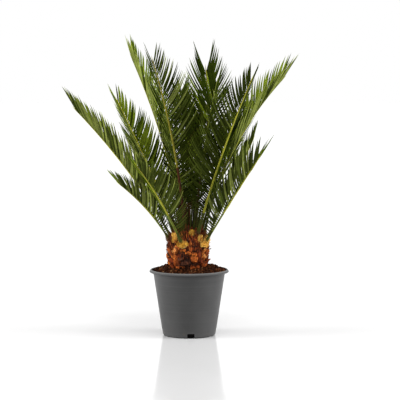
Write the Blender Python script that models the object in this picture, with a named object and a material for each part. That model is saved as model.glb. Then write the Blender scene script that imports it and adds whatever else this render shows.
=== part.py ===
"""A sago palm in a grey nursery pot: pot, potting soil, trunk with old leaf bases, and its fronds.

Metres, Z up. The origin is the centre of the pot's flat underside and the viewer stands on the -Y side.
"""

import math

import bmesh
import bpy
from mathutils import Vector
from mathutils.bvhtree import BVHTree

# Pot
POT_HEIGHT = 0.1745
POT_SIDES = 48
POT_BASE_RADIUS = 0.0665
POT_FOOT_RADIUS = 0.0705
POT_FOOT_HEIGHT = 0.0035
POT_NECK_RADIUS = 0.0945
POT_NECK_HEIGHT = 0.1640
RIM_RADIUS = 0.1050
RIM_TOP_RADIUS = 0.1035
RIM_WIDEST_HEIGHT = 0.1705
WALL = 0.0022
FLOOR = 0.0030
RIM_HOLLOW = 0.0020
SLOT_COUNT = 3
SLOT_WIDTH = 0.017
SLOT_HEIGHT = 0.011
SLOT_TAPER = 0.84
SLOT_FIRST_TURN = -86.0

# Potting soil
GAP = 0.0003
SOIL_CLEARANCE = 0.0006
SOIL_EDGE_HEIGHT = 0.1705
SOIL_SHOULDER_HEIGHT = 0.1755
SOIL_SHOULDER_RADIUS = 0.072
SOIL_TOP = 0.1780
SOIL_TOP_RADIUS = 0.060

# Trunk
TRUNK_X = -0.0035
TRUNK_Y = 0.0040
TRUNK_SIDES = 32
TRUNK_FOOT_RADIUS = 0.0505
TRUNK_WIDEST_RADIUS = 0.0545
TRUNK_WIDEST_HEIGHT = 0.218
TRUNK_SHOULDER_RADIUS = 0.0530
TRUNK_SHOULDER_HEIGHT = 0.248
CROWN_HEIGHT = 0.283
CROWN_ROUNDING = 1.6
BUD_TURN = 300.0
BUD_REACH = 0.004
BUD_RADIUS = 0.009
BUD_TOP = 0.318

# Old leaf bases, set round the trunk by the golden angle
BASE_COUNT = 34
BASE_WIDTH = 0.019
BASE_HEIGHT = 0.011
BASE_DEPTH = 0.012
BASE_LOWEST = 0.1885
BASE_HIGHEST = 0.243
GOLDEN_TURN = 137.5

# Frond stems and ribs
RIB_STEPS = 40
STEM_WIDTH = 0.013
STEM_DEPTH = 0.009
RIB_WIDTH = 0.0075
RIB_DEPTH = 0.0055
RIB_END_WIDTH = 0.0030
RIB_END_DEPTH = 0.0024
BARE_SHARE = 0.13
END_BLADE = 0.034
COLLAR_MARGIN = 0.0025
COLLAR_LENGTH = 0.030
COLLAR_SIDES = 8

# Leaflets
LEAFLET_SPACING = 0.0185
ROOT_SHARE = 0.56
BLADE_SHARE = 0.86
BLADE_THICKNESS = 0.0015
ELBOW = 0.45
FOOT_ANGLE = 78.0
MIDDLE_ANGLE = 48.0
FOOT_GROWTH = 0.30
GROWN_AT = 0.42
WANES_FROM = 0.62
FORWARD_CURVE = 0.35
CLEARANCE = 0.0016
TRIES = (
    (1.0, 0.0), (1.0, -9.0), (1.0, 9.0), (0.85, 0.0), (0.85, -12.0), (0.85, 12.0),
    (0.7, 0.0), (0.7, -12.0), (0.7, 12.0), (0.55, 0.0), (0.4, 0.0), (0.28, 0.0),
)

# Corners of a section in order round it: near or far side, or lower or upper end, then top or underside
CORNERS = ((1, 1), (1, -1), (-1, -1), (-1, 1))

# Each frond: turn, reach and height of its seat on the crown, heading with its drift along the rib,
# rise at the foot and at the end, length of the rib, longest leaflet, end leaflet share, end angle and lift
FRONDS = {
    "frond_far_left": (170, 0.047, 0.264, 188, 0, 60.5, 46, 0.418, 0.114, 0.74, 28, 34),
    "frond_front_left": (255, 0.059, 0.249, 232, 0, 57, 42, 0.275, 0.095, 0.62, 20, 34),
    "frond_low_left": (200, 0.053, 0.258, 204, 0, 57, 37, 0.200, 0.088, 0.70, 26, 32),
    "frond_mid_left": (150, 0.032, 0.277, 142, 0, 60, 57, 0.402, 0.105, 0.58, 24, 26),
    "frond_top_left": (150, 0.014, 0.287, 165, 0, 79.5, 65.5, 0.466, 0.108, 0.70, 24, 38),
    "frond_front": (245, 0.018, 0.288, 240, 0, 80, 60, 0.465, 0.120, 0.50, 30, 36),
    "frond_top": (70, 0.032, 0.282, 28, 80, 77, 70, 0.440, 0.124, 0.80, 20, 20),
    "frond_right": (310, 0.040, 0.270, 312, 0, 69, 58, 0.452, 0.125, 0.45, 26, 36),
    "frond_far_right": (12, 0.044, 0.267, 18, 0, 78, 45.5, 0.472, 0.120, 0.78, 31, 34),
    "frond_low_right": (322, 0.058, 0.249, 330, 0, 56, 54, 0.274, 0.112, 0.72, 32, 28),
    "frond_low_right_back": (350, 0.052, 0.259, 352, 0, 64, 66, 0.284, 0.096, 0.70, 26, 26),
    "frond_inner_right": (10, 0.020, 0.286, 40, 0, 84, 74, 0.390, 0.110, 0.66, 24, 30),
    "frond_inner_back": (105, 0.022, 0.285, 105, 0, 83, 74, 0.350, 0.105, 0.60, 22, 26),
    "frond_back": (112, 0.042, 0.270, 90, 0, 70, 55, 0.420, 0.115, 0.60, 20, 38),
    "frond_back_right": (48, 0.048, 0.262, 55, 0, 62, 43, 0.410, 0.112, 0.62, 20, 38),
    "frond_back_left": (135, 0.050, 0.260, 120, 0, 55, 35, 0.370, 0.105, 0.62, 20, 38),
}


def smooth(start, end, value):
    share = min(1.0, max(0.0, (value - start) / (end - start)))
    return share * share * (3 - 2 * share)


def around(turn, reach, height):
    """The point at this turn, in degrees, and reach from the trunk's axis."""
    angle = math.radians(turn)
    return Vector((TRUNK_X + reach * math.cos(angle), TRUNK_Y + reach * math.sin(angle), height))


def heading(turn, rise):
    turn, rise = math.radians(turn), math.radians(rise)
    return Vector((math.cos(rise) * math.cos(turn), math.cos(rise) * math.sin(turn), math.sin(rise)))


# Objects, materials and Booleans

def material(name, colour, roughness):
    made = bpy.data.materials.new(name)
    made.use_nodes = True
    shader = made.node_tree.nodes["Principled BSDF"]
    shader.inputs["Base Color"].default_value = (*colour, 1.0)
    shader.inputs["Roughness"].default_value = roughness
    shader.inputs["Metallic"].default_value = 0.0
    return made


def finish(mesh_data, name, look=None, smooth_shading=False):
    """Makes an object of a bmesh, its faces turned outwards."""
    bmesh.ops.recalc_face_normals(mesh_data, faces=mesh_data.faces)
    mesh = bpy.data.meshes.new(name)
    mesh_data.to_mesh(mesh)
    mesh_data.free()
    for polygon in mesh.polygons:
        polygon.use_smooth = smooth_shading
    made = bpy.data.objects.new(name, mesh)
    bpy.context.scene.collection.objects.link(made)
    if look:
        mesh.materials.append(look)
    return made


def revolve(profile, sides, centre=(0.0, 0.0)):
    """Turns a profile of radii and heights, whose ends lie on the axis, once round."""
    made = bmesh.new()
    axis = Vector((centre[0], centre[1], 0.0))
    points = [made.verts.new(axis + Vector((radius, 0.0, height))) for radius, height in profile]
    edges = [made.edges.new(pair) for pair in zip(points, points[1:])]
    bmesh.ops.spin(
        made, geom=points + edges, cent=axis, axis=(0, 0, 1), angle=math.tau, steps=sides, use_merge=True,
    )
    bmesh.ops.remove_doubles(made, verts=made.verts, dist=0.00001)
    return made


def prism(sections):
    """Joins rings of as many points each and closes both ends."""
    made = bmesh.new()
    rings = [[made.verts.new(point) for point in ring] for ring in sections]
    count = len(rings[0])
    for lower, upper in zip(rings, rings[1:]):
        for i in range(count):
            j = (i + 1) % count
            made.faces.new((lower[i], lower[j], upper[j], upper[i]))
    made.faces.new(rings[0])
    made.faces.new(rings[-1])
    return made


def combine(body, tools, operation):
    """Applies one Boolean with all the tools and removes them."""
    group = bpy.data.collections.new(body.name + "_tools")
    for tool in tools:
        group.objects.link(tool)
        tool.hide_render = True
        tool.display_type = "WIRE"
    step = body.modifiers.new("combine", "BOOLEAN")
    step.operation = operation
    step.operand_type = "COLLECTION"
    step.solver = "EXACT"
    step.collection = group
    bpy.context.view_layer.update()
    whole = body.evaluated_get(bpy.context.evaluated_depsgraph_get())
    mesh = bpy.data.meshes.new_from_object(whole)
    body.modifiers.clear()
    body.data = mesh
    for tool in tools:
        bpy.data.objects.remove(tool)
    bpy.data.collections.remove(group)


# Pot

def inner_radius(height):
    """The radius of the pot's inner wall below the rim."""
    share = (height - POT_FOOT_HEIGHT) / (POT_NECK_HEIGHT - POT_FOOT_HEIGHT)
    return POT_FOOT_RADIUS + (POT_NECK_RADIUS - POT_FOOT_RADIUS) * share - WALL


def pot_profile():
    rim_inner = RIM_RADIUS - WALL
    neck_inner = inner_radius(POT_NECK_HEIGHT)
    return (
        (0.0, 0.0),
        (POT_BASE_RADIUS, 0.0),
        (POT_FOOT_RADIUS, POT_FOOT_HEIGHT),
        (POT_NECK_RADIUS, POT_NECK_HEIGHT),
        (RIM_RADIUS - 0.0025, POT_NECK_HEIGHT + 0.0015),
        (RIM_RADIUS, RIM_WIDEST_HEIGHT),
        (RIM_TOP_RADIUS, POT_HEIGHT),
        (rim_inner - RIM_HOLLOW / 2, POT_HEIGHT),
        (rim_inner - RIM_HOLLOW, POT_NECK_HEIGHT + 0.0034),
        (neck_inner, POT_NECK_HEIGHT + 0.0005),
        (inner_radius(FLOOR), FLOOR),
        (0.0, FLOOR),
    )


def slot_cutter(turn):
    """A wedge through the foot of the wall, narrower at its top."""
    angle = math.radians(turn)
    out = Vector((math.cos(angle), math.sin(angle), 0.0))
    side = Vector((-math.sin(angle), math.cos(angle), 0.0))
    rings = []
    for reach in (inner_radius(FLOOR) - 0.010, POT_FOOT_RADIUS + 0.010):
        lower, upper = -0.004, SLOT_HEIGHT
        rings.append([
            out * reach + side * (-SLOT_WIDTH / 2) + Vector((0, 0, lower)),
            out * reach + side * (SLOT_WIDTH / 2) + Vector((0, 0, lower)),
            out * reach + side * (SLOT_WIDTH * SLOT_TAPER / 2) + Vector((0, 0, upper)),
            out * reach + side * (-SLOT_WIDTH * SLOT_TAPER / 2) + Vector((0, 0, upper)),
        ])
    return finish(prism(rings), "slot_cutter")


def make_pot(look):
    pot = finish(revolve(pot_profile(), POT_SIDES), "pot", look, True)
    turns = [SLOT_FIRST_TURN + 360.0 * i / SLOT_COUNT for i in range(SLOT_COUNT)]
    combine(pot, [slot_cutter(turn) for turn in turns], "DIFFERENCE")
    return pot


# Potting soil

def make_soil(look):
    edge = RIM_RADIUS - WALL - RIM_HOLLOW - SOIL_CLEARANCE
    profile = (
        (0.0, FLOOR + GAP),
        (inner_radius(FLOOR) - SOIL_CLEARANCE, FLOOR + GAP),
        (inner_radius(POT_NECK_HEIGHT) - SOIL_CLEARANCE, POT_NECK_HEIGHT + 0.0012),
        (edge, POT_NECK_HEIGHT + 0.0044),
        (edge, SOIL_EDGE_HEIGHT),
        (SOIL_SHOULDER_RADIUS, SOIL_SHOULDER_HEIGHT),
        (SOIL_TOP_RADIUS, SOIL_TOP),
        (0.0, SOIL_TOP),
    )
    return finish(revolve(profile, POT_SIDES), "potting_soil", look, True)


# Ribs

class Rib:
    """The middle line of a frond, walked in even steps, and the sizes that follow from it."""

    def __init__(self, numbers):
        (seat_turn, seat_reach, seat_height, self.turn, self.drift, self.rise, self.end_rise,
         self.length, self.leaflet, self.end_share, self.end_angle, self.lift) = numbers
        self.points = [around(seat_turn, seat_reach, seat_height)]
        for i in range(RIB_STEPS):
            step = self.direction((i + 0.5) / RIB_STEPS) * (self.length / RIB_STEPS)
            self.points.append(self.points[-1] + step)

    def direction(self, share):
        return heading(self.turn + self.drift * share, self.rise + (self.end_rise - self.rise) * share)

    def point(self, share):
        place = min(RIB_STEPS - 1e-6, max(0.0, share * RIB_STEPS))
        return self.points[int(place)].lerp(self.points[int(place) + 1], place - int(place))

    def frame(self, share):
        """Along the rib, level across it, and up off the face of the frond."""
        along = self.direction(share)
        turn = math.radians(self.turn + self.drift * share)
        across = Vector((-math.sin(turn), math.cos(turn), 0.0))
        up = across.cross(along)
        if up.z < 0:
            up = -up
        return along, across, up

    def widths(self, share):
        foot = smooth(0.0, BARE_SHARE, share)
        width = STEM_WIDTH + (RIB_WIDTH - STEM_WIDTH) * foot
        depth = STEM_DEPTH + (RIB_DEPTH - STEM_DEPTH) * foot
        end = max(0.0, (share - BARE_SHARE) / (1 - BARE_SHARE))
        return width + (RIB_END_WIDTH - RIB_WIDTH) * end, depth + (RIB_END_DEPTH - RIB_DEPTH) * end

    def section(self, share):
        """Corners of the rib here: upper and lower on the near side, then on the other."""
        along, across, up = self.frame(share)
        width, depth = self.widths(share)
        middle = self.point(share)
        return {
            (side, level): middle + across * (side * width / 2) + up * (level * depth / 2)
            for side in (1, -1) for level in (1, -1)
        }

    def leaflet_shares(self):
        count = round(self.length * (1 - BARE_SHARE) / LEAFLET_SPACING)
        return [BARE_SHARE + (1 - BARE_SHARE) * (i + 0.5) / count for i in range(count)]

    def spacing(self):
        """Share of the rib from one leaflet to the next."""
        return (1 - BARE_SHARE) / len(self.leaflet_shares())


# Leaflets

class Blade:
    """One leaflet: four corners on the rib's side, four at its elbow, and a pointed tip."""

    def __init__(self, rib, share, side, scale, lift_change, extra=0.0):
        along, across, up = rib.frame(share)
        growth = FOOT_GROWTH + (1 - FOOT_GROWTH) * smooth(BARE_SHARE - 0.04, GROWN_AT, share)
        growth -= (1 - rib.end_share) * smooth(WANES_FROM, 1.0, share)
        length = rib.leaflet * growth * scale
        angle = FOOT_ANGLE - (FOOT_ANGLE - MIDDLE_ANGLE) * smooth(BARE_SHARE, 0.5, share)
        angle -= (MIDDLE_ANGLE - rib.end_angle) * smooth(WANES_FROM, 1.0, share)
        lift = math.radians(rib.lift + lift_change)
        outward = across * (side * math.cos(lift)) + up * math.sin(lift)
        step = rib.spacing()
        half = step * ROOT_SHARE / 2
        self.shares = (share - half, share + half)
        middle = (rib.section(share)[side, 1] + rib.section(share)[side, -1]) / 2
        lean = [math.radians(angle * (1 - FORWARD_CURVE * part)) for part in (ELBOW / 2, (1 + ELBOW) / 2)]
        ways = [along * math.cos(turn) + outward * math.sin(turn) for turn in lean]
        elbow = middle + ways[0] * (length * ELBOW)
        self.tip = elbow + ways[1] * (length * (1 - ELBOW) + extra)
        flat = along.cross(ways[1]).normalized()
        if flat.dot(up) < 0:
            flat = -flat
        half_width = rib.length * step * BLADE_SHARE / 2 + extra
        thick = flat * (BLADE_THICKNESS / 2 + extra)
        self.elbow = {
            (end, level): elbow + along * (end * half_width) + thick * level
            for end in (-1, 1) for level in (1, -1)
        }
        lower, upper = rib.section(self.shares[0]), rib.section(self.shares[1])
        self.root = {(-1, level): lower[side, level] for level in (1, -1)}
        self.root.update({(1, level): upper[side, level] for level in (1, -1)})

    def surface(self):
        """Points and faces, for the test of what it would touch."""
        points = [self.root[key] for key in CORNERS] + [self.elbow[key] for key in CORNERS] + [self.tip]
        faces = [(i, (i + 1) % 4, 4 + (i + 1) % 4, 4 + i) for i in range(4)]
        faces += [(4 + i, 4 + (i + 1) % 4, 8) for i in range(4)]
        return points, faces


class Obstacle:
    """A surface with its bounds, for quick tests of what meets it."""

    def __init__(self, owner, points, faces):
        self.owner = owner
        self.low = [min(point[i] for point in points) for i in range(3)]
        self.high = [max(point[i] for point in points) for i in range(3)]
        self.tree = BVHTree.FromPolygons(points, faces)

    def meets(self, other):
        for i in range(3):
            if self.low[i] > other.high[i] or other.low[i] > self.high[i]:
                return False
        return bool(self.tree.overlap(other.tree))


def rib_obstacle(name, rib):
    """The rib and its end blade, a little thicker than they are."""
    shares = [i / RIB_STEPS for i in range(RIB_STEPS + 1)]
    points = []
    for share in shares:
        middle = rib.point(share)
        section = rib.section(share)
        for key in CORNERS:
            away = section[key] - middle
            points.append(middle + away + away.normalized() * CLEARANCE)
    points.append(rib.point(1.0) + rib.direction(1.0) * (END_BLADE + CLEARANCE))
    faces = []
    for ring in range(RIB_STEPS):
        for i in range(4):
            j = (i + 1) % 4
            faces.append((4 * ring + i, 4 * ring + j, 4 * ring + 4 + j, 4 * ring + 4 + i))
    faces += [(4 * RIB_STEPS + i, 4 * RIB_STEPS + (i + 1) % 4, 4 * RIB_STEPS + 4) for i in range(4)]
    return Obstacle(name, points, faces)


def grow_leaflets(ribs, fixed):
    """Gives each leaflet the fullest form that keeps clear of every other frond, the fronds in turn."""
    stems = [rib_obstacle(name, rib) for name, rib in ribs.items()]
    grown = {name: {} for name in ribs}
    placed = []
    turns = max(len(rib.leaflet_shares()) for rib in ribs.values())
    for i in range(turns):
        for name, rib in ribs.items():
            shares = rib.leaflet_shares()
            if i >= len(shares):
                continue
            for side in (1, -1):
                for scale, lift_change in TRIES:
                    swollen = Blade(rib, shares[i], side, scale, lift_change, CLEARANCE)
                    test = Obstacle(name, *swollen.surface())
                    others = [other for other in stems + placed if other.owner != name]
                    if not any(test.meets(other) for other in others + fixed):
                        blade = Blade(rib, shares[i], side, scale, lift_change)
                        grown[name][i, side] = blade
                        placed.append(Obstacle(name, *blade.surface()))
                        break
    return grown


# Fronds

def make_frond(name, rib, blades, look):
    """A rib of four sides, out of whose sides the leaflets grow, so the frond is one closed skin."""
    made = bmesh.new()
    stations = {}

    def corners(share):
        if share not in stations:
            stations[share] = {key: made.verts.new(point) for key, point in rib.section(share).items()}
        return stations[share]

    half = rib.spacing() * ROOT_SHARE / 2
    shares = [0.0, BARE_SHARE / 3]
    for share in rib.leaflet_shares():
        shares += [share - half, share + half]
    shares.append(1.0)
    for number, (start, end) in enumerate(zip(shares, shares[1:])):
        lower, upper = corners(start), corners(end)
        for level in (1, -1):
            made.faces.new((lower[1, level], upper[1, level], upper[-1, level], lower[-1, level]))
        for side in (1, -1):
            leaf = (number - 2) // 2
            if number >= 2 and number % 2 == 0 and (leaf, side) in blades:
                add_blade(made, blades[leaf, side], lower, upper, side)
            else:
                made.faces.new((lower[side, 1], upper[side, 1], upper[side, -1], lower[side, -1]))
    foot, end = corners(0.0), corners(1.0)
    made.faces.new([foot[key] for key in CORNERS])
    tip = made.verts.new(rib.point(1.0) + rib.direction(1.0) * END_BLADE)
    for i in range(4):
        made.faces.new((end[CORNERS[i]], end[CORNERS[(i + 1) % 4]], tip))
    return finish(made, name, look)


def add_blade(made, blade, lower, upper, side):
    root = [(lower if end < 0 else upper)[side, level] for end, level in CORNERS]
    elbow = [made.verts.new(blade.elbow[key]) for key in CORNERS]
    tip = made.verts.new(blade.tip)
    for i in range(4):
        j = (i + 1) % 4
        made.faces.new((root[i], root[j], elbow[j], elbow[i]))
        made.faces.new((elbow[i], elbow[j], tip))


# Trunk

def oval(centre, across, up, width, depth, sides):
    ring = []
    for i in range(sides):
        angle = math.tau * (i + 0.5) / sides
        ring.append(centre + across * (math.cos(angle) * width / 2) + up * (math.sin(angle) * depth / 2))
    return ring


def collar(rib):
    """The stub of the crown that a frond's stem stands on, its end flat and just short of the stem."""
    along, across, up = rib.frame(0.0)
    seat = rib.points[0] - along * GAP
    width, depth = STEM_WIDTH + 2 * COLLAR_MARGIN, STEM_DEPTH + 2 * COLLAR_MARGIN
    heart = Vector((TRUNK_X, TRUNK_Y, TRUNK_SHOULDER_HEIGHT - 0.022))
    root = (seat - along * COLLAR_LENGTH).lerp(heart, 0.25)
    return finish(prism([
        oval(root, across, up, width * 1.25, depth * 1.35, COLLAR_SIDES),
        oval(seat - along * COLLAR_LENGTH / 5, across, up, width * 1.12, depth * 1.15, COLLAR_SIDES),
        oval(seat, across, up, width, depth, COLLAR_SIDES),
    ]), "collar")


def trunk_radius(height):
    """The barrel's radius at a height below the shoulder."""
    if height < TRUNK_WIDEST_HEIGHT:
        share = smooth(SOIL_TOP - 0.02, TRUNK_WIDEST_HEIGHT, height)
        return TRUNK_FOOT_RADIUS + (TRUNK_WIDEST_RADIUS - TRUNK_FOOT_RADIUS) * share
    share = smooth(TRUNK_WIDEST_HEIGHT, TRUNK_SHOULDER_HEIGHT, height)
    return TRUNK_WIDEST_RADIUS + (TRUNK_SHOULDER_RADIUS - TRUNK_WIDEST_RADIUS) * share


def trunk_profile():
    foot = SOIL_TOP + GAP
    heights = [foot + (TRUNK_SHOULDER_HEIGHT - foot) * i / 5 for i in range(6)]
    barrel = [(trunk_radius(height), height) for height in heights]
    crown = []
    for share in (0.85, 0.6, 0.3):
        rise = (CROWN_HEIGHT - TRUNK_SHOULDER_HEIGHT) * (1 - share ** CROWN_ROUNDING)
        crown.append((TRUNK_SHOULDER_RADIUS * share, TRUNK_SHOULDER_HEIGHT + rise))
    return [(0.0, foot)] + barrel + crown + [(0.0, CROWN_HEIGHT)]


def leaf_base(number):
    """One old leaf base: a stub pointing out and up, cut off square."""
    share = (number + 0.5) / BASE_COUNT
    height = BASE_LOWEST + (BASE_HIGHEST - BASE_LOWEST) * share
    turn = GOLDEN_TURN * number
    out = heading(turn, 24.0)
    across = Vector((-math.sin(math.radians(turn)), math.cos(math.radians(turn)), 0.0))
    up = out.cross(across)
    reach = trunk_radius(height) + 0.0012 + 0.0012 * math.sin(number * 2.4)
    face = around(turn, reach, height)
    root = face - out * BASE_DEPTH
    size = 0.9 + 0.2 * math.sin(number * 1.7)
    rings = []
    for centre, widen, heighten in ((root, 1.35, 0.8), (face, 1.0, 1.0)):
        wide, high = BASE_WIDTH * size * widen / 2, BASE_HEIGHT * size * heighten / 2
        rings.append([
            centre - across * wide,
            centre - across * (wide * 0.45) + up * high,
            centre + across * (wide * 0.45) + up * high,
            centre + across * wide,
            centre - up * high,
        ])
    return finish(prism(rings), "leaf_base")


def bud():
    """The woolly heart of the crown, between the stems."""
    foot = around(BUD_TURN, BUD_REACH, CROWN_HEIGHT - 0.020)
    across, up = Vector((1, 0, 0)), Vector((0, 1, 0))
    rings = []
    for share, grow in ((0.0, 1.1), (0.55, 0.95), (0.85, 0.55), (1.0, 0.15)):
        centre = foot + Vector((0, 0, (BUD_TOP - foot.z) * share))
        rings.append(oval(centre, across, up, 2 * BUD_RADIUS * grow, 2 * BUD_RADIUS * grow, 8))
    return finish(prism(rings), "bud")


def make_trunk(ribs, look):
    trunk = finish(revolve(trunk_profile(), TRUNK_SIDES, (TRUNK_X, TRUNK_Y)), "trunk", look)
    stubs = [collar(rib) for rib in ribs.values()]
    bases = [leaf_base(number) for number in range(BASE_COUNT)]
    combine(trunk, stubs + bases + [bud()], "UNION")
    return trunk


def surface_of(made):
    points = [vertex.co.copy() for vertex in made.data.vertices]
    faces = [tuple(polygon.vertices) for polygon in made.data.polygons]
    return Obstacle(made.name, points, faces)


def main():
    for old in list(bpy.data.objects):
        bpy.data.objects.remove(old)
    grey = material("pot_grey", (0.090, 0.095, 0.098), 0.45)
    earth = material("soil_brown", (0.060, 0.026, 0.012), 0.95)
    bark = material("trunk_brown", (0.160, 0.055, 0.020), 0.90)
    leaf = material("frond_green", (0.050, 0.090, 0.010), 0.50)
    make_pot(grey)
    make_soil(earth)
    ribs = {name: Rib(numbers) for name, numbers in FRONDS.items()}
    trunk = make_trunk(ribs, bark)
    blades = grow_leaflets(ribs, [surface_of(trunk)])
    for name, rib in ribs.items():
        make_frond(name, rib, blades[name], leaf)
        print(name, len(blades[name]), "leaflets of", 2 * len(rib.leaflet_shares()))


main()
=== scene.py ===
# %% [markdown]
# # A sago palm in its grey nursery pot
#
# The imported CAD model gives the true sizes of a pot, its soil, a short trunk and sixteen fronds. This file
# dresses it. Each text says what a part of the real plant is and how it can be made in Blender, and the code
# after it makes that part. Sizes are in metres, Z is up, and the origin is the centre of the pot's
# underside.

# %% Tools and the fixed frame
import math
import random

import bmesh
import bpy
import numpy as np
from mathutils import Matrix, Vector, noise
from mathutils.bvhtree import BVHTree


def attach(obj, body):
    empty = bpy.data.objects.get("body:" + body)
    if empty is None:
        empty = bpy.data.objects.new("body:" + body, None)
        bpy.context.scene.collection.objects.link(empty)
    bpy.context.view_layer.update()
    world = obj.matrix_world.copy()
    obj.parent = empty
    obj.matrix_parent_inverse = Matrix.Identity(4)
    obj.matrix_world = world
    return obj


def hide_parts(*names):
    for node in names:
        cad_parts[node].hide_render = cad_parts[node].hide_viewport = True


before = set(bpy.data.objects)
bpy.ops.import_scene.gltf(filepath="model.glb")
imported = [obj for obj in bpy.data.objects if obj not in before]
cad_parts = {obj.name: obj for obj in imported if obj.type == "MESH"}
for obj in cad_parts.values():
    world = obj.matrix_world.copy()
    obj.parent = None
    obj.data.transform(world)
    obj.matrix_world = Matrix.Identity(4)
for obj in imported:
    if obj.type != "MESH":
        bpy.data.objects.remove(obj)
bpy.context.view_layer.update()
scene = bpy.context.scene
noise.seed_set(5)  # without a seed of its own the noise changes from run to run

# %% [markdown]
# ## Camera
#
# A product photo like this is taken from several metres away with a long lens, which keeps the pot's rim a
# thin ellipse. With this lens the picture of the CAD model falls on the photo. The camera looks down by a
# little over four degrees, so its height and that tilt belong together.

# %% Camera
camera = bpy.data.objects.new("photo_camera", bpy.data.cameras.new("photo_camera"))
scene.collection.objects.link(camera)
camera.data.lens = 136.1
camera.data.sensor_width = 36.0
camera.location = (0.0288, -4.0, 0.66)
camera.rotation_euler = (math.radians(90.0 - 4.287), 0.0, 0.0)
scene.camera = camera
print("camera at", tuple(round(v, 3) for v in camera.location), "lens", round(camera.data.lens, 1), "mm")

# %% [markdown]
# ## Studio light
#
# The palm stands before plain white with soft light from both sides and above. A white world gives the even
# fill. Three suns give it direction: a sun lights the whole floor alike, so the floor meets the white with
# no edge, and a wide angle makes its shadows as soft as a softbox would. The side ones stand low, which
# draws the pot's two light flanks and darker middle. No sun shows in a gloss, or the floor would glare in a
# view against the light. The view transform is Standard, so that white paper stays white.

# %% Studio light
scene.view_settings.view_transform = "Standard"
scene.view_settings.look = "None"
world = bpy.data.worlds.new("studio_white")
world.use_nodes = True
world.node_tree.nodes["Background"].inputs["Color"].default_value = (1.0, 1.0, 1.0, 1.0)
world.node_tree.nodes["Background"].inputs["Strength"].default_value = 1.0
scene.world = world


def softbox(name, turn, height, strength, angle):
    """A sun that shines from this turn and height, in degrees."""
    light = bpy.data.lights.new(name, "SUN")
    light.energy = strength
    light.angle = math.radians(angle)
    made = bpy.data.objects.new(name, light)
    made.rotation_euler = (math.radians(90.0 - height), 0.0, math.radians(turn + 90.0))
    made.visible_glossy = False
    scene.collection.objects.link(made)


softbox("softbox_left", -170.0, 14.0, 9.4, 34.0)
softbox("softbox_right", -10.0, 14.0, 8.6, 34.0)
softbox("softbox_top", -80.0, 68.0, 3.6, 30.0)

# %% [markdown]
# ## Finishes
#
# A finish is a node tree. Written node by node it becomes long, so two small classes help. `Amount` wraps a
# socket, and its plus, minus and times add Math nodes, so a mask can be written as `1 - mask`. `Finish`
# makes a material and adds every other node through one method. A value that is the same all over goes
# straight on the shader's socket, and only what changes over the surface is linked.

# %% Finishes: sums on sockets
class Amount:
    """One number that changes over a surface."""

    def __init__(self, finish, socket):
        self.finish, self.socket = finish, socket

    def sum(self, operation, first, second):
        return self.finish.node("ShaderNodeMath", {"operation": operation}, {0: first, 1: second})

    def __add__(self, other):
        return self.sum("ADD", self, other)

    def __sub__(self, other):
        return self.sum("SUBTRACT", self, other)

    def __rsub__(self, other):
        return self.sum("SUBTRACT", other, self)

    def __mul__(self, other):
        return self.sum("MULTIPLY", self, other)

    __radd__, __rmul__ = __add__, __mul__


# %% Finishes: one material
class Finish:
    """A material on one Principled shader."""

    def __init__(self, name, **fixed):
        self.material = bpy.data.materials.new(name)
        self.material.use_nodes = True
        self.tree = self.material.node_tree
        self.shader = self.tree.nodes["Principled BSDF"]
        self.paint(**fixed)

    def node(self, kind, settings, values, output=0):
        made = self.tree.nodes.new(kind)
        for setting, value in settings.items():
            setattr(made, setting, value)
        for socket, value in values.items():
            self.put(made.inputs[socket], value)
        return Amount(self, made.outputs[output])

    def put(self, socket, value):
        if isinstance(value, Amount):
            self.tree.links.new(value.socket, socket)
        else:
            socket.default_value = value

    def paint(self, **sockets):
        for socket, value in sockets.items():
            self.put(self.shader.inputs[socket.replace("_", " ")], value)
        return self.material

    def place(self, stretch=(1.0, 1.0, 1.0), source="Object"):
        spot = self.node("ShaderNodeTexCoord", {}, {}, {"Object": 3, "UV": 2}[source])
        return self.node("ShaderNodeMapping", {}, {"Vector": spot, "Scale": stretch})

    def part(self, place, axis):
        return self.node("ShaderNodeSeparateXYZ", {}, {"Vector": place}, axis)

    def grain(self, scale, detail, roughness, stretch=(1.0, 1.0, 1.0), source="Object"):
        place = self.place(stretch, source)
        values = {"Vector": place, "Scale": scale, "Detail": detail, "Roughness": roughness}
        return self.node("ShaderNodeTexNoise", {}, values)

    def between(self, value, low, high, to_low=0.0, to_high=1.0):
        values = {"Value": value, "From Min": low, "From Max": high, "To Min": to_low, "To Max": to_high}
        return self.node("ShaderNodeMapRange", {"interpolation_type": "SMOOTHSTEP"}, values)

    def mix(self, share, first, second):
        first, second = [(*c, 1.0) if isinstance(c, tuple) else c for c in (first, second)]
        return self.node("ShaderNodeMix", {"data_type": "RGBA"}, {0: share, 6: first, 7: second}, 2)

    def layer(self, colour, mask, low, high, strength, other):
        """Lays another colour over this one, where the mask rises from low to high."""
        return self.mix(self.between(mask, low, high) * strength, colour, other)

    def relief(self, height, distance, strength):
        return self.node("ShaderNodeBump", {}, {"Height": height, "Distance": distance, "Strength": strength})


def shade(colour, factor):
    return tuple(min(1.0, part * factor) for part in colour)


# %% [markdown]
# ## From shape to piece
#
# A finished piece keeps its object at the origin, with its place in its mesh, as the CAD nodes do. Every
# piece rides on the one body and hides the CAD nodes it stands for. A single form comes from bmesh. Hundreds
# of alike ones, such as leaflets, are joined from arrays, since as objects they would be slow and as one
# bmesh each they would be slower. All of those are tubes of a few rings and a tip.

# %% From shape to piece
def dress(made, nodes=()):
    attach(made, "root")
    if nodes:
        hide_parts(*nodes)
    print(made.name, sum(len(face.vertices) - 2 for face in made.data.polygons), "triangles")


def placed(mesh, name, looks, smooth):
    mesh.polygons.foreach_set("use_smooth", [smooth] * len(mesh.polygons))
    for look in looks:
        mesh.materials.append(look)
    made = bpy.data.objects.new(name, mesh)
    scene.collection.objects.link(made)
    return made


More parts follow.
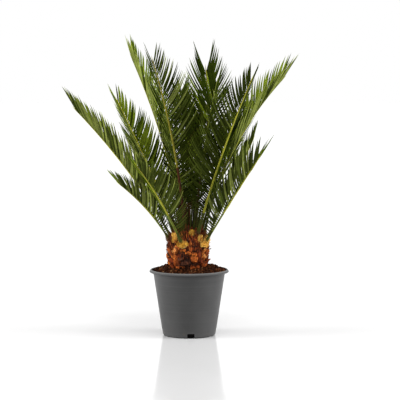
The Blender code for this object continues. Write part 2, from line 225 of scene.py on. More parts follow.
def object_of(shape, name, looks, smooth=True):
    mesh = bpy.data.meshes.new(name)
    shape.to_mesh(mesh)
    shape.free()
    return placed(mesh, name, looks, smooth)


def from_arrays(name, points, faces, numbers, looks, smooth=True):
    """An object from points, faces and the number of each face's look."""
    mesh = bpy.data.meshes.new(name)
    mesh.from_pydata(points, [], faces)
    mesh.polygons.foreach_set("material_index", numbers)
    return placed(mesh, name, looks, smooth)


def tube_faces(sides, rings, start=0, tip=False, foot=False):
    """Faces between rings of points, to the tip point that comes after them, and over the foot."""
    corners = [(i, (i + 1) % sides) for i in range(sides)]
    faces = [(at + i, at + j, at + sides + j, at + sides + i)
             for at in range(start, start + sides * (rings - 1), sides) for i, j in corners]
    last = start + sides * (rings - 1)
    if tip:
        faces += [(last + i, last + j, last + sides) for i, j in corners]
    if foot:
        faces.append(tuple(range(start + sides - 1, start - 1, -1)))
    return faces


def add_tube(piece, rings, tip, looks):
    """Adds a closed tube with a tip to a piece. Looks are one number, or a list with one for each face."""
    points, faces, numbers = piece
    fresh = tube_faces(len(rings[0]), len(rings), len(points), tip=True, foot=True)
    points += [point[:] for ring in rings for point in ring] + [tip[:]]
    faces += fresh
    numbers += looks if isinstance(looks, list) else [looks] * len(fresh)


def dress_tubes(name, piece, looks, nodes=(), smooth=True):
    """Makes the object of a piece of tubes, turns its faces outwards and dresses it."""
    made = from_arrays(name, *piece, looks, smooth)
    shape = bmesh.new()
    shape.from_mesh(made.data)
    bmesh.ops.recalc_face_normals(shape, faces=shape.faces)
    shape.to_mesh(made.data)
    shape.free()
    dress(made, nodes)


# %% From shape to piece: turned forms
def turned(profile, sides, centre=(0.0, 0.0)):
    """A profile of radii and heights, its ends on the axis, spun once round."""
    shape = bmesh.new()
    axis = Vector((*centre, 0.0))
    points = [shape.verts.new(axis + Vector((radius, 0.0, height))) for radius, height in profile]
    edges = [shape.edges.new(pair) for pair in zip(points, points[1:])]
    bmesh.ops.spin(
        shape, geom=points + edges, cent=axis, axis=(0, 0, 1), angle=math.tau, steps=sides, use_merge=True,
    )
    bmesh.ops.remove_doubles(shape, verts=shape.verts, dist=0.00001)
    bmesh.ops.recalc_face_normals(shape, faces=shape.faces)
    return shape


def ring_edges(shape, radius, height, near=0.00015):
    """The edges of the circle that one point of a profile has drawn."""
    def on_ring(vertex):
        return abs(vertex.co.xy.length - radius) < near and abs(vertex.co.z - height) < near
    return [edge for edge in shape.edges if on_ring(edge.verts[0]) and on_ring(edge.verts[1])]


def round_off(shape, edges, size, segments):
    bmesh.ops.bevel(
        shape, geom=edges, offset=size, offset_type="OFFSET", affect="EDGES", segments=segments,
        profile=0.5, material=-1,
    )


def smooth_step(start, end, value):
    share = min(1.0, max(0.0, (value - start) / (end - start)))
    return share * share * (3 - 2 * share)


# %% [markdown]
# ## The pot
#
# A nursery pot is thin plastic: a straight tapered wall, a collar rolled outwards at the top that stiffens
# it, and a small step above the foot. It could be a cylinder pushed about by hand, but a profile spun round
# the axis keeps every ring true. The profile has sharp corners, and a bevel rounds each chosen ring by its
# own amount. The drain slots are cut last, by a Boolean, since they would break the rings.

# %% The pot: profile
POT_HEIGHT, POT_SIDES = 0.1756, 128
BASE_RADIUS = 0.0665
FOOT_RADIUS, FOOT_HEIGHT, FOOT_STEP = 0.0705, 0.0035, 0.019
NECK_RADIUS, NECK_HEIGHT = 0.0955, 0.1668
RIM_RADIUS, LIP_HEIGHT = 0.1058, 0.1697
WALL, FLOOR = 0.0022, 0.003


def wall_radius(height):
    share = (height - FOOT_HEIGHT) / (NECK_HEIGHT - FOOT_HEIGHT)
    return FOOT_RADIUS + (NECK_RADIUS - FOOT_RADIUS) * share


crest, inner_crest = (RIM_RADIUS - 0.0036, POT_HEIGHT), (RIM_RADIUS - 0.0054, POT_HEIGHT - 0.0004)
lip, upper_lip = (RIM_RADIUS, LIP_HEIGHT), (RIM_RADIUS - 0.0004, LIP_HEIGHT + 0.0016)
neck, foot_edge = (NECK_RADIUS, NECK_HEIGHT), (FOOT_RADIUS - 0.0005, FOOT_HEIGHT)
pot_profile = [
    (0.0, 0.0008), (0.052, 0.0008), (0.0535, 0.0), (BASE_RADIUS, 0.0), foot_edge,
    (wall_radius(FOOT_STEP) - 0.0005, FOOT_STEP - 0.0006), (wall_radius(FOOT_STEP), FOOT_STEP),
    neck, (RIM_RADIUS - 0.0016, LIP_HEIGHT - 0.0012), lip, upper_lip, crest, inner_crest,
    (RIM_RADIUS - 0.0066, LIP_HEIGHT + 0.0004), (NECK_RADIUS - WALL, NECK_HEIGHT + 0.0008),
    (wall_radius(FLOOR) - WALL, FLOOR), (0.0, FLOOR),
]
pot_shape = turned(pot_profile, POT_SIDES)
for ring, size in ((crest, 0.0007), (lip, 0.0006), (neck, 0.0012), (upper_lip, 0.0006), (inner_crest, 0.0005),
                   ((BASE_RADIUS, 0.0), 0.001), (foot_edge, 0.0012)):
    round_off(pot_shape, ring_edges(pot_shape, *ring), size, 3)
print("pot profile:", len(pot_profile), "points,", len(pot_shape.faces), "faces")

# %% [markdown]
# The plastic is a mid grey with a dull sheen. Close up it has the fine pits of its mould, faint rings where
# the wall cooled and a little soil dust near the foot, and the top of its rim is lighter, a painted
# highlight. All of it follows Object coordinates. The rings only need the height, so the noise that draws
# them is stretched until it hardly changes round the pot.

# %% The pot: plastic
def pot_plastic():
    finish = Finish("pot_plastic", Metallic=0.0, Specular_IOR_Level=0.24)
    cloud = finish.grain(9.0, 4.0, 0.6)
    pits = finish.grain(900.0, 2.0, 0.6)
    rings = finish.grain(1.0, 3.0, 0.7, (0.5, 0.5, 190.0))
    dust = finish.between(finish.grain(60.0, 5.0, 0.7), 0.52, 0.75)
    height = finish.part(finish.place(), 2)
    low = 1 - finish.between(height, 0.004, 0.03)
    # The top slope of the rim is painted lighter: a painted highlight.
    rim_highlight = finish.between(height, LIP_HEIGHT + 0.002, POT_HEIGHT - 0.0006) * 0.8
    colour = finish.mix(finish.between(cloud, 0.3, 0.7), (0.0245,) * 3, (0.0325,) * 3)
    colour = finish.layer(colour, rings, 0.45, 0.62, 0.35, (0.039,) * 3)
    colour = finish.mix(dust * (low * 0.35 + 0.05), colour, (0.07, 0.055, 0.042))
    colour = finish.mix(rim_highlight, colour, (0.06, 0.06, 0.059))
    roughness = finish.between(pits, 0.2, 0.8, 0.4, 0.52)
    bumps = finish.relief(pits * 0.25 + rings * 0.4 + cloud * 0.5, 0.00025, 0.5)
    return finish.paint(Base_Color=colour, Roughness=roughness, Normal=bumps)


# %% The pot: drain slots
SLOT_TURNS = (-86.0, 34.0, 154.0)
SLOT_WIDTH, SLOT_HEIGHT = 0.019, 0.0128


def slot_tool(turn):
    """A block through the foot of the wall, with rounded upper corners."""
    shape = bmesh.new()
    bmesh.ops.create_cube(shape, size=1.0)
    bmesh.ops.scale(shape, vec=(0.03, SLOT_WIDTH, 2 * SLOT_HEIGHT), verts=shape.verts)
    upper = [edge for edge in shape.edges if all(vertex.co.z > 0 for vertex in edge.verts)]
    through = [edge for edge in upper if abs(edge.verts[0].co.x - edge.verts[1].co.x) > 0.01]
    round_off(shape, through, 0.002, 4)
    turn_round = Matrix.Rotation(math.radians(turn), 4, "Z") @ Matrix.Translation((FOOT_RADIUS, 0.0, 0.0))
    bmesh.ops.transform(shape, matrix=turn_round, verts=shape.verts)
    return object_of(shape, "slot_tool", [])


def cut(body, tools):
    """Takes the tools out of the body for good."""
    for tool in tools:
        step = body.modifiers.new("cut", "BOOLEAN")
        step.operation, step.solver, step.object = "DIFFERENCE", "EXACT", tool
    bpy.context.view_layer.update()
    mesh = bpy.data.meshes.new_from_object(body.evaluated_get(bpy.context.evaluated_depsgraph_get()))
    body.modifiers.clear()
    body.data = mesh
    for tool in tools:
        bpy.data.objects.remove(tool)


pot = object_of(pot_shape, "nursery_pot", [pot_plastic()])
cut(pot, [slot_tool(turn) for turn in SLOT_TURNS])
pot.data.polygons.foreach_set("use_smooth", [True] * len(pot.data.polygons))
pot.data.set_sharp_from_angle(angle=math.radians(50.0))
dress(pot, ["pot"])

# %% [markdown]
# ## Potting soil
#
# The mix is bark and peat in crumbs, dark red-brown and damp, heaped a little against the trunk. It is made
# in two parts: a bed, which is a spun form whose top is pushed up and down by noise, and some two thousand
# loose crumbs and bark chips on it, joined into one mesh.

# %% Potting soil: bed
SOIL_EDGE, SOIL_TOP, SOIL_HEAP = 0.1722, 0.1785, 0.006
SOIL_REACH = RIM_RADIUS - 0.0072
SOIL_RINGS = 30


def soil_height(x, y):
    """The heap's surface, which is highest against the trunk's sides and back."""
    reach = math.hypot(x, y)
    behind = 1 - max(0.0, -y / max(reach, 0.001)) ** 2
    heap = SOIL_HEAP * behind * smooth_step(0.1, 0.06, reach)
    return SOIL_TOP - (SOIL_TOP - SOIL_EDGE) * smooth_step(0.058, SOIL_REACH + 0.006, reach) + heap


def lumps(place, size):
    """Noise with small lumps on larger ones, from -1 to 1."""
    return noise.fractal(place / size, 0.7, 2.1, 4, noise_basis="PERLIN_ORIGINAL")


bed_profile = [(0.0, FLOOR + 0.0005), (wall_radius(FLOOR) - WALL - 0.0006, FLOOR + 0.0005),
               (NECK_RADIUS - WALL - 0.0006, NECK_HEIGHT + 0.0012), (SOIL_REACH, LIP_HEIGHT + 0.0004)]
bed_profile += [(SOIL_REACH * (1 - i / SOIL_RINGS), SOIL_EDGE) for i in range(SOIL_RINGS + 1)]
bed = turned(bed_profile, 120)
for vertex in bed.verts:
    if vertex.co.z > NECK_HEIGHT + 0.005:
        vertex.co.z = soil_height(vertex.co.x, vertex.co.y)
        rise = lumps(vertex.co, 0.011) * 0.003
        vertex.co.z += rise * smooth_step(SOIL_REACH + 0.0005, SOIL_REACH - 0.012, vertex.co.xy.length)
print("soil bed:", len(bed.faces), "faces")

# %% Potting soil: finish
def soil_mix(name, dark, light, roughness=0.85):
    finish = Finish(name, Metallic=0.0, Specular_IOR_Level=0.06)
    clods = finish.grain(170.0, 5.0, 0.7)
    crumbs = finish.grain(620.0, 4.0, 0.7)
    colour = finish.mix(finish.between(clods, 0.35, 0.68), dark, light)
    colour = finish.layer(colour, crumbs, 0.6, 0.74, 0.5, shade(light, 1.7))
    # Below about four centimetres the soil is painted near black: painted shade inside the pot, where the
    # drain slots look in.
    height = finish.part(finish.place(), 2)
    colour = finish.mix(finish.between(height, 0.012, 0.04), (0.0012, 0.001, 0.0009), colour)
    bumps = finish.relief(clods * 0.6 + crumbs * 0.4, 0.0024, 1.0)
    damp = finish.between(clods, 0.3, 0.7, roughness - 0.14, roughness)
    return finish.paint(Base_Color=colour, Roughness=damp, Normal=bumps)


SOIL_LOOKS = (
    soil_mix("soil_damp", (0.0038, 0.0012, 0.0005), (0.0202, 0.0061, 0.002), 0.92),
    soil_mix("soil_bark_chip", (0.0202, 0.0056, 0.0017), (0.0562, 0.0167, 0.005)),
    soil_mix("soil_pale_chip", (0.0382, 0.0162, 0.0063), (0.0854, 0.0427, 0.0179)),
)
dress(object_of(bed, "soil_bed", SOIL_LOOKS[:1]), ["potting_soil"])

# %% [markdown]
# The crumbs share one rough lump of twenty faces, the icosahedron, as bmesh makes it. Each copy is
# stretched, turned and dented by its own random numbers. Numpy does that to all of them at once.

# %% Potting soil: crumbs
CRUMB_COUNT, BIG_CRUMBS = 2100, 160


def lump_shape():
    shape = bmesh.new()
    bmesh.ops.create_icosphere(shape, subdivisions=1, radius=1.0)
    points = np.array([vertex.co[:] for vertex in shape.verts])
    faces = np.array([[vertex.index for vertex in face.verts] for face in shape.faces])
    shape.free()
    return points, faces


def random_turns(draw, count):
    """Rotation matrices that point every way alike."""
    quaternions = draw.normal(size=(count, 4))
    w, x, y, z = (quaternions / np.linalg.norm(quaternions, axis=1, keepdims=True)).T
    rows = [[1 - 2 * (y * y + z * z), 2 * (x * y - z * w), 2 * (x * z + y * w)],
            [2 * (x * y + z * w), 1 - 2 * (x * x + z * z), 2 * (y * z - x * w)],
            [2 * (x * z - y * w), 2 * (y * z + x * w), 1 - 2 * (x * x + y * y)]]
    return np.array(rows).transpose(2, 0, 1)


draw = np.random.default_rng(11)
lump, lump_faces = lump_shape()
reach = np.sqrt(draw.uniform(0.046 ** 2, (SOIL_REACH - 0.0022) ** 2, CRUMB_COUNT))
turn = draw.uniform(0.0, math.tau, CRUMB_COUNT)
size = 0.0009 + 0.0021 * draw.power(0.45, CRUMB_COUNT)
size[:BIG_CRUMBS] *= 1.7
stretch = draw.uniform(0.45, 1.35, (CRUMB_COUNT, 1, 3))
dents = 1.0 + draw.uniform(-0.28, 0.28, (CRUMB_COUNT, len(lump), 1))
copies = np.einsum("nij,npj->npi", random_turns(draw, CRUMB_COUNT), lump[None] * stretch * dents)
copies *= size[:, None, None]
across, deep = reach * np.cos(turn), reach * np.sin(turn)
height = np.array([soil_height(x, y) for x, y in zip(across, deep)])
height += size * draw.uniform(0.1, 0.75, CRUMB_COUNT)
copies += np.stack([across, deep, height], 1)[:, None, :]
tones = np.repeat(draw.choice(3, CRUMB_COUNT, p=(0.62, 0.32, 0.06)), len(lump_faces))
faces = (lump_faces[None] + len(lump) * np.arange(CRUMB_COUNT)[:, None, None]).reshape(-1, 3)
crumbs = from_arrays("soil_crumbs", copies.reshape(-1, 3).tolist(), faces.tolist(), tones, SOIL_LOOKS, False)
dress(crumbs)

# %% [markdown]
# ## How a frond grows
#
# A sago frond is a stiff rib that leaves the crown steeply and bends outwards, with a row of narrow leaflets
# on each side. The rows are lifted into a V, swing forward towards the tip, and are longest in the middle.
# The CAD model grows its fronds by this rule from the same table, with about half of the leaflets, so the
# same rule with the real number of them stays in the same space.

# %% How a frond grows: named sizes
TRUNK_X, TRUNK_Y = -0.0035, 0.004
RIB_STEPS = 40
STEM_WIDTH, STEM_DEPTH = 0.013, 0.009
RIB_WIDTH, RIB_DEPTH = 0.0075, 0.0055
RIB_END_WIDTH, RIB_END_DEPTH = 0.003, 0.0024
BARE_SHARE = 0.13
FOOT_ANGLE, MIDDLE_ANGLE = 78.0, 48.0
FOOT_GROWTH, GROWN_AT, WANES_FROM = 0.3, 0.42, 0.62
FORWARD_CURVE = 0.35
LEAFLET_SPACING, LEAFLET_WIDTH, CLEARANCE = 0.006, 0.0051, 0.0006
# Turn, reach and height of the seat, heading and its drift, rise at the foot and at the end, length of the
# rib, longest leaflet, share of that at the end, the leaflets' angle at the end, and their lift
FRONDS = {
    "frond_far_left": (170, 0.047, 0.264, 188, 0, 60.5, 46, 0.418, 0.114, 0.74, 28, 34),
    "frond_front_left": (255, 0.059, 0.249, 232, 0, 57, 42, 0.275, 0.095, 0.62, 20, 34),
    "frond_low_left": (200, 0.053, 0.258, 204, 0, 57, 37, 0.2, 0.088, 0.7, 26, 32),
    "frond_mid_left": (150, 0.032, 0.277, 142, 0, 60, 57, 0.402, 0.105, 0.58, 24, 26),
    "frond_top_left": (150, 0.014, 0.287, 165, 0, 79.5, 65.5, 0.466, 0.108, 0.7, 24, 38),
    "frond_front": (245, 0.018, 0.288, 240, 0, 80, 60, 0.465, 0.12, 0.5, 30, 36),
    "frond_top": (70, 0.032, 0.282, 28, 80, 77, 70, 0.44, 0.124, 0.8, 20, 20),
    "frond_right": (310, 0.04, 0.27, 312, 0, 69, 58, 0.452, 0.125, 0.45, 26, 36),
    "frond_far_right": (12, 0.044, 0.267, 18, 0, 78, 45.5, 0.472, 0.12, 0.78, 31, 34),
    "frond_low_right": (322, 0.058, 0.249, 330, 0, 56, 54, 0.274, 0.112, 0.72, 32, 28),
    "frond_low_right_back": (350, 0.052, 0.259, 352, 0, 64, 66, 0.284, 0.096, 0.7, 26, 26),
    "frond_inner_right": (10, 0.02, 0.286, 40, 0, 84, 74, 0.39, 0.11, 0.66, 24, 30),
    "frond_inner_back": (105, 0.022, 0.285, 105, 0, 83, 74, 0.35, 0.105, 0.6, 22, 26),
    "frond_back": (112, 0.042, 0.27, 90, 0, 70, 55, 0.42, 0.115, 0.6, 20, 38),
    "frond_back_right": (48, 0.048, 0.262, 55, 0, 62, 43, 0.41, 0.112, 0.62, 20, 38),
    "frond_back_left": (135, 0.05, 0.26, 120, 0, 55, 35, 0.37, 0.105, 0.62, 20, 38),
}


def around(turn, reach, height):
    """The point at this turn, in degrees, and reach from the trunk's axis."""
    angle = math.radians(turn)
    return Vector((TRUNK_X + reach * math.cos(angle), TRUNK_Y + reach * math.sin(angle), height))


def heading(turn, rise):
    turn, rise = math.radians(turn), math.radians(rise)
    return Vector((math.cos(rise) * math.cos(turn), math.cos(rise) * math.sin(turn), math.sin(rise)))


# %% How a frond grows: the rib
BOX = ((-1, 1), (1, 1), (1, -1), (-1, -1))


class Rib:
    """The middle line of a frond, walked in even steps."""

    def __init__(self, numbers):
        (seat_turn, seat_reach, seat_height, self.turn, self.drift, self.rise, self.end_rise,
         self.length, self.leaflet, self.end_share, self.end_angle, self.lift) = numbers
        self.points = [around(seat_turn, seat_reach, seat_height)]
        for i in range(RIB_STEPS):
            step = self.direction((i + 0.5) / RIB_STEPS) * (self.length / RIB_STEPS)
            self.points.append(self.points[-1] + step)

    def direction(self, share):
        return heading(self.turn + self.drift * share, self.rise + (self.end_rise - self.rise) * share)

    def point(self, share):
        place = min(RIB_STEPS - 1e-6, max(0.0, share * RIB_STEPS))
        return self.points[int(place)].lerp(self.points[int(place) + 1], place - int(place))

    def frame(self, share):
        """Along the rib, level across it, and up off the face of the frond."""
        along, across = self.direction(share), heading(self.turn + self.drift * share + 90.0, 0.0)
        up = across.cross(along)
        return along, across, up if up.z > 0 else -up

    def widths(self, share):
        foot = smooth_step(0.0, BARE_SHARE, share)
        end = max(0.0, (share - BARE_SHARE) / (1 - BARE_SHARE))
        width = STEM_WIDTH + (RIB_WIDTH - STEM_WIDTH) * foot + (RIB_END_WIDTH - RIB_WIDTH) * end
        return width, STEM_DEPTH + (RIB_DEPTH - STEM_DEPTH) * foot + (RIB_END_DEPTH - RIB_DEPTH) * end

    def section(self, share, outline):
        """A ring round the rib, for an outline in halves of its width and depth."""
        (_, across, up), (width, depth) = self.frame(share), self.widths(share)
        return [self.point(share) + across * (x * width / 2) + up * (y * depth / 2) for x, y in outline]

    def leaflet_shares(self):
        count = round(self.length * (1 - BARE_SHARE) / LEAFLET_SPACING)
        return [BARE_SHARE + (1 - BARE_SHARE) * (i + 0.5) / count for i in range(count)]


ribs = {name: Rib(numbers) for name, numbers in FRONDS.items()}
print("leaflets wanted:", sum(2 * len(rib.leaflet_shares()) for rib in ribs.values()))

# %% [markdown]
# A leaflet leaves the rib at an angle and bends forward. Its blade is a strap with a groove along the middle
# and edges that roll under, which is why each one catches a line of light. Its section has eight points,
# five above and three below, and six sections and a tip make the strap.

# %% How a frond grows: one leaflet
BLADE_RINGS = 6
SECTION = ((-1.0, -0.42), (-0.55, 0.0), (0.0, -0.3), (0.55, 0.0), (1.0, -0.42),
           (0.52, -0.24), (0.0, -0.5), (-0.52, -0.24))


def blade_width(part):
    """Narrow where it joins the rib, even along its middle, drawn out to a point."""
    return (0.42 + 0.58 * smooth_step(0.0, 0.14, part)) * (1 - 0.72 * smooth_step(0.5, 1.0, part))


class Leaflet:
    """The line, lean and width of one leaflet."""

    def __init__(self, rib, share, side, scale, lift_change, luck):
        along, across, up = rib.frame(share)
        wane = smooth_step(WANES_FROM, 1.0, share)
        growth = FOOT_GROWTH + (1 - FOOT_GROWTH) * smooth_step(BARE_SHARE - 0.04, GROWN_AT, share)
        growth -= (1 - rib.end_share) * wane
        length = rib.leaflet * growth * scale * (1 + 0.06 * luck[0])
        angle = FOOT_ANGLE - (FOOT_ANGLE - MIDDLE_ANGLE) * smooth_step(BARE_SHARE, 0.5, share)
        angle += 3.5 * luck[1] - (MIDDLE_ANGLE - rib.end_angle) * wane
        lift = math.radians(rib.lift + lift_change + 5.0 * luck[2])
        roll = math.radians(15.0 + 27.0 * luck[3]) * side
        outward = across * (side * math.cos(lift)) + up * math.sin(lift)
        self.half = LEAFLET_WIDTH / 2 * (0.62 + 0.38 * growth)
        self.rings = []
        self.tip = rib.point(share) + across * (side * rib.widths(share)[0] * 0.38)
        for ring in range(BLADE_RINGS):
            part = ring / BLADE_RINGS
            lean = math.radians(angle * (1 - FORWARD_CURVE * part))
            way = along * math.cos(lean) + outward * math.sin(lean)
            flat = along.cross(way).normalized()
            flat = Matrix.Rotation(roll, 3, way) @ (flat if flat.dot(up) > 0 else -flat)
            edge = flat.cross(way).normalized()
            self.rings.append((self.tip.copy(), edge, flat, self.half * blade_width(part)))
            self.tip += way * (length / BLADE_RINGS)

    def blade(self):
        return [[centre + side * (x * half) + flat * (y * half) for x, y in SECTION]
                for centre, side, flat, half in self.rings]

    def test_surface(self):
        """The strap, a little swollen, as a box of four sides, for the test of what it would touch."""
        thick = self.half * 0.15 + CLEARANCE
        points = [centre + side * (x * (half + CLEARANCE)) + flat * (y * thick)
                  for centre, side, flat, half in self.rings for x, y in BOX]
        return points + [self.tip], tube_faces(4, BLADE_RINGS, tip=True)


# %% [markdown]
# In so dense a crown leaflets of neighbouring fronds would pass through each other. Real ones were pushed
# aside as they grew. Here each leaflet tries its full form first, then the same tilted up or down, then
# shorter ones, and takes the first that meets no other frond. A BVH tree answers quickly whether two
# surfaces cross, and comparing boxes first saves most of the questions.

# %% How a frond grows: room for every leaflet
# Share of the length and change of the lift, in the order in which they are tried
TRIES = (
    (1.0, 0.0), (1.0, -7.0), (1.0, 7.0), (0.92, -11.0), (0.85, 0.0), (0.85, 12.0),
    (0.7, 0.0), (0.7, -12.0), (0.7, 12.0), (0.55, 0.0), (0.4, 0.0), (0.28, 0.0),
)


class Crowd:
    """Everything that has its place already."""

    def __init__(self):
        self.owners, self.trees = [], []
        self.low, self.high = np.empty((0, 3)), np.empty((0, 3))

    def fits(self, owner, points, faces, test=True):
        """Adds a surface, unless it meets another owner's."""
        array, tree = np.array([point[:] for point in points]), BVHTree.FromPolygons(points, faces)
        near = np.all((self.low < array.max(0)) & (self.high > array.min(0)), axis=1)
        others = [self.trees[i] for i in np.flatnonzero(near) if self.owners[i] != owner]
        if test and any(tree.overlap(other) for other in others):
            return False
        self.owners.append(owner)
        self.trees.append(tree)
        self.low, self.high = np.vstack([self.low, array.min(0)]), np.vstack([self.high, array.max(0)])
        return True


# %% How a frond grows: all leaflets
def grow_leaflets():
    draw = random.Random(5)
    crowd = Crowd()
    for name, rib in ribs.items():
        points = [point for step in range(RIB_STEPS + 1) for point in rib.section(step / RIB_STEPS, BOX)]
        crowd.fits(name, points, tube_faces(4, RIB_STEPS + 1), test=False)
    grown = {name: [] for name in ribs}
    for i in range(max(len(rib.leaflet_shares()) for rib in ribs.values())):
        for name, rib in ribs.items():
            for share in rib.leaflet_shares()[i:i + 1]:
                for side in (1, -1):
                    luck = [draw.uniform(-1, 1) for _ in range(4)]
                    # Near a frond's foot the tones lean to the darker greens: painted shade of the crown.
                    tone = [draw.random() * smooth_step(0.02, 0.34, share) for _ in range(2)]
                    for scale, lift_change in TRIES:
                        leaflet = Leaflet(rib, share, side, scale, lift_change, luck)
                        if crowd.fits(name, *leaflet.test_surface()):
                            grown[name].append((leaflet, tone))
                            break
    print("leaflets grown:", sum(map(len, grown.values())))
    return grown


grown = grow_leaflets()

# %% [markdown]
# ## Leaf green
#
# The upper face of a leaflet is dark and waxy, the underside is paler and duller, and young fronds are
# fresher than old ones. Which green falls where has a place, so it is not left to a pattern: a few finishes
# are dealt out leaflet by leaflet, with other odds for each frond and darker ones towards its foot, which
# is painted shade of the crown. The two most open fronds also take a bluer green, a painted sheen of the
# light on their waxy tops. Each finish has its own detail: veins along the blade, a paler middle line that
# is a painted highlight along the midrib, a dry tip and slow changes from patch to patch. Veins follow the
# blade, so they read a UV map with the leaflet's length in one direction and its width in the other.

# %% Leaf green: finishes
def leaf_skin(name, colour, gloss, midrib_highlight):
    finish = Finish(name, Metallic=0.0, Specular_IOR_Level=0.03)
    patches = finish.grain(38.0, 3.0, 0.6)
    veins = finish.grain(1.0, 2.0, 0.5, (3.0, 26.0, 1.0), "UV")
    spot = finish.node("ShaderNodeTexCoord", {}, {}, 2)
    off_middle = finish.node("ShaderNodeMath", {"operation": "ABSOLUTE"}, {0: finish.part(spot, 1) - 0.5})
    middle = 1 - finish.between(off_middle, 0.02, 0.1)
    tip = finish.between(finish.part(spot, 0) + veins * 0.06, 0.985, 1.03)
    tint = finish.mix(finish.between(patches, 0.32, 0.68), shade(colour, 0.78), shade(colour, 1.28))
    tint = finish.layer(tint, veins, 0.45, 0.7, 0.45, shade(colour, 1.45))
    # The paler middle line is a painted highlight along the midrib.
    pale = (colour[0] * 2.2 + 0.02, colour[1] * 1.8 + 0.02, colour[2] * 1.6)
    tint = finish.mix(middle * midrib_highlight, tint, pale)
    tint = finish.mix(tip, tint, (0.13, 0.075, 0.022))
    rough = finish.between(veins, 0.3, 0.7, gloss, gloss + 0.14)
    bumps = finish.relief(veins * 0.7 + middle * 0.3, 0.00018, 0.6)
    return finish.paint(Base_Color=tint, Roughness=rough, Normal=bumps)


# Three greens above, three below, and one with a painted sheen
LEAF_LOOKS = (
    leaf_skin("leaf_top_deep", (0.0078, 0.0136, 0.0005), 0.42, 0.4),
    leaf_skin("leaf_top_mid", (0.0205, 0.033, 0.0012), 0.42, 0.4),
    leaf_skin("leaf_top_fresh", (0.06, 0.083, 0.0046), 0.42, 0.35),
    leaf_skin("leaf_under_deep", (0.0116, 0.017, 0.0014), 0.5, 0.4),
    leaf_skin("leaf_under_dull", (0.0279, 0.0381, 0.005), 0.52, 0.3),
    leaf_skin("leaf_under_pale", (0.096, 0.115, 0.024), 0.54, 0.25),
    # A bluer green: painted sheen of the light on waxy upper faces
    leaf_skin("leaf_top_painted_sheen", (0.054, 0.083, 0.022), 0.42, 0.35),
)
FRESH_TOP, PAINTED_SHEEN_TOP = 2, 6
PAINTED_SHEEN_FRONDS, PAINTED_SHEEN_SHARE = ("frond_top_left", "frond_front_left"), 0.4
# For each frond the odds of the deep and middle green above, and of the deep and dull green below
GREENS = {
    "frond_far_left": (0.16, 0.16, 0.16, 0.16), "frond_front_left": (0.06, 0.62, 0.1, 0.6),
    "frond_low_left": (0.22, 0.42, 0.2, 0.42), "frond_mid_left": (0.12, 0.18, 0.16, 0.2),
    "frond_top_left": (0.08, 0.14, 0.1, 0.12), "frond_front": (0.46, 0.44, 0.4, 0.48),
    "frond_top": (0.85, 0.14, 0.75, 0.24), "frond_right": (0.74, 0.24, 0.66, 0.32),
    "frond_far_right": (0.2, 0.14, 0.2, 0.12), "frond_low_right": (0.2, 0.56, 0.26, 0.5),
    "frond_low_right_back": (0.5, 0.35, 0.45, 0.35), "frond_inner_right": (0.75, 0.22, 0.68, 0.3),
    "frond_inner_back": (0.75, 0.22, 0.68, 0.3), "frond_back": (0.6, 0.32, 0.5, 0.42),
    "frond_back_right": (0.4, 0.4, 0.35, 0.4), "frond_back_left": (0.45, 0.38, 0.35, 0.4),
}


def leaf_numbers(name, tone):
    """Numbers of the looks of the upper and the under face."""
    deep, middle, under_deep, under_dull = GREENS[name]
    top = 0 if tone[0] < deep else 1 if tone[0] < deep + middle else FRESH_TOP
    # Some fresh tops of these fronds take the green with the painted sheen
    if top == FRESH_TOP and name in PAINTED_SHEEN_FRONDS and tone[1] < PAINTED_SHEEN_SHARE:
        top = PAINTED_SHEEN_TOP
    return top, 3 if tone[1] < under_deep else 4 if tone[1] < under_deep + under_dull else 5


# %% Leaf green: the joined leaflets
POINTS = len(SECTION)
PER_LEAF = POINTS * BLADE_RINGS + 1
# How far across the blade each point of a section lies, and the tip after them
ACROSS_BLADE = np.array([0.0, 0.24, 0.5, 0.76, 1.0, 0.75, 0.5, 0.25, 0.5])

blades = ([], [], [])
looks_up = [i % POINTS < 4 for i in range(PER_LEAF - 1)] + [False]
for name, leaves in grown.items():
    for leaflet, tone in leaves:
        top, under = leaf_numbers(name, tone)
        add_tube(blades, leaflet.blade(), leaflet.tip, [top if above else under for above in looks_up])
leaflets = from_arrays("frond_leaflets", *blades, LEAF_LOOKS)
mesh = leaflets.data
corner = np.empty(len(mesh.loops), np.int32)
mesh.loops.foreach_get("vertex_index", corner)
corner %= PER_LEAF
wide = ACROSS_BLADE[np.where(corner == PER_LEAF - 1, POINTS, corner % POINTS)]
coordinates = np.stack([corner // POINTS / BLADE_RINGS, wide], 1).astype(np.float32)
mesh.uv_layers.new(name="blade").data.foreach_set("uv", coordinates.ravel())
# The two margins of a blade are sharp, up to the last section
ends = np.empty(2 * len(mesh.edges), np.int32)
mesh.edges.foreach_get("vertices", ends)
ends = ends.reshape(-1, 2) % PER_LEAF
lengthwise = (ends[:, 0] % POINTS == ends[:, 1] % POINTS) & (ends.max(1) < PER_LEAF - 1)
margin = lengthwise & np.isin(ends[:, 0] % POINTS, (0, 4))
mesh.attributes.new("sharp_edge", "BOOLEAN", "EDGE").data.foreach_set("value", margin)
dress(leaflets, list(FRONDS))

# %% [markdown]
# ## Ribs, stems and their spines
#
# The rib is flat above and round below, olive or red-brown at its foot and yellow-green further up, where it
# is the brightest line of the frond. It is a tube swept along the rib's line. Below the first leaflets the
# stem carries short stiff spines, which are leaflets that never opened.

# %% Ribs: finishes
def rib_skin(name, colour, edge):
    finish = Finish(name, Metallic=0.0, Specular_IOR_Level=0.07)
    fibres = finish.grain(1.0, 3.0, 0.6, (420.0, 420.0, 45.0))
    patches = finish.grain(55.0, 4.0, 0.6)
    tint = finish.mix(finish.between(patches, 0.35, 0.65), shade(colour, 0.8), shade(colour, 1.2))
    tint = finish.layer(tint, fibres, 0.45, 0.7, 0.5, edge)
    rough = finish.between(fibres, 0.3, 0.7, 0.4, 0.6)
    return finish.paint(Base_Color=tint, Roughness=rough, Normal=finish.relief(fibres, 0.0003, 0.6))


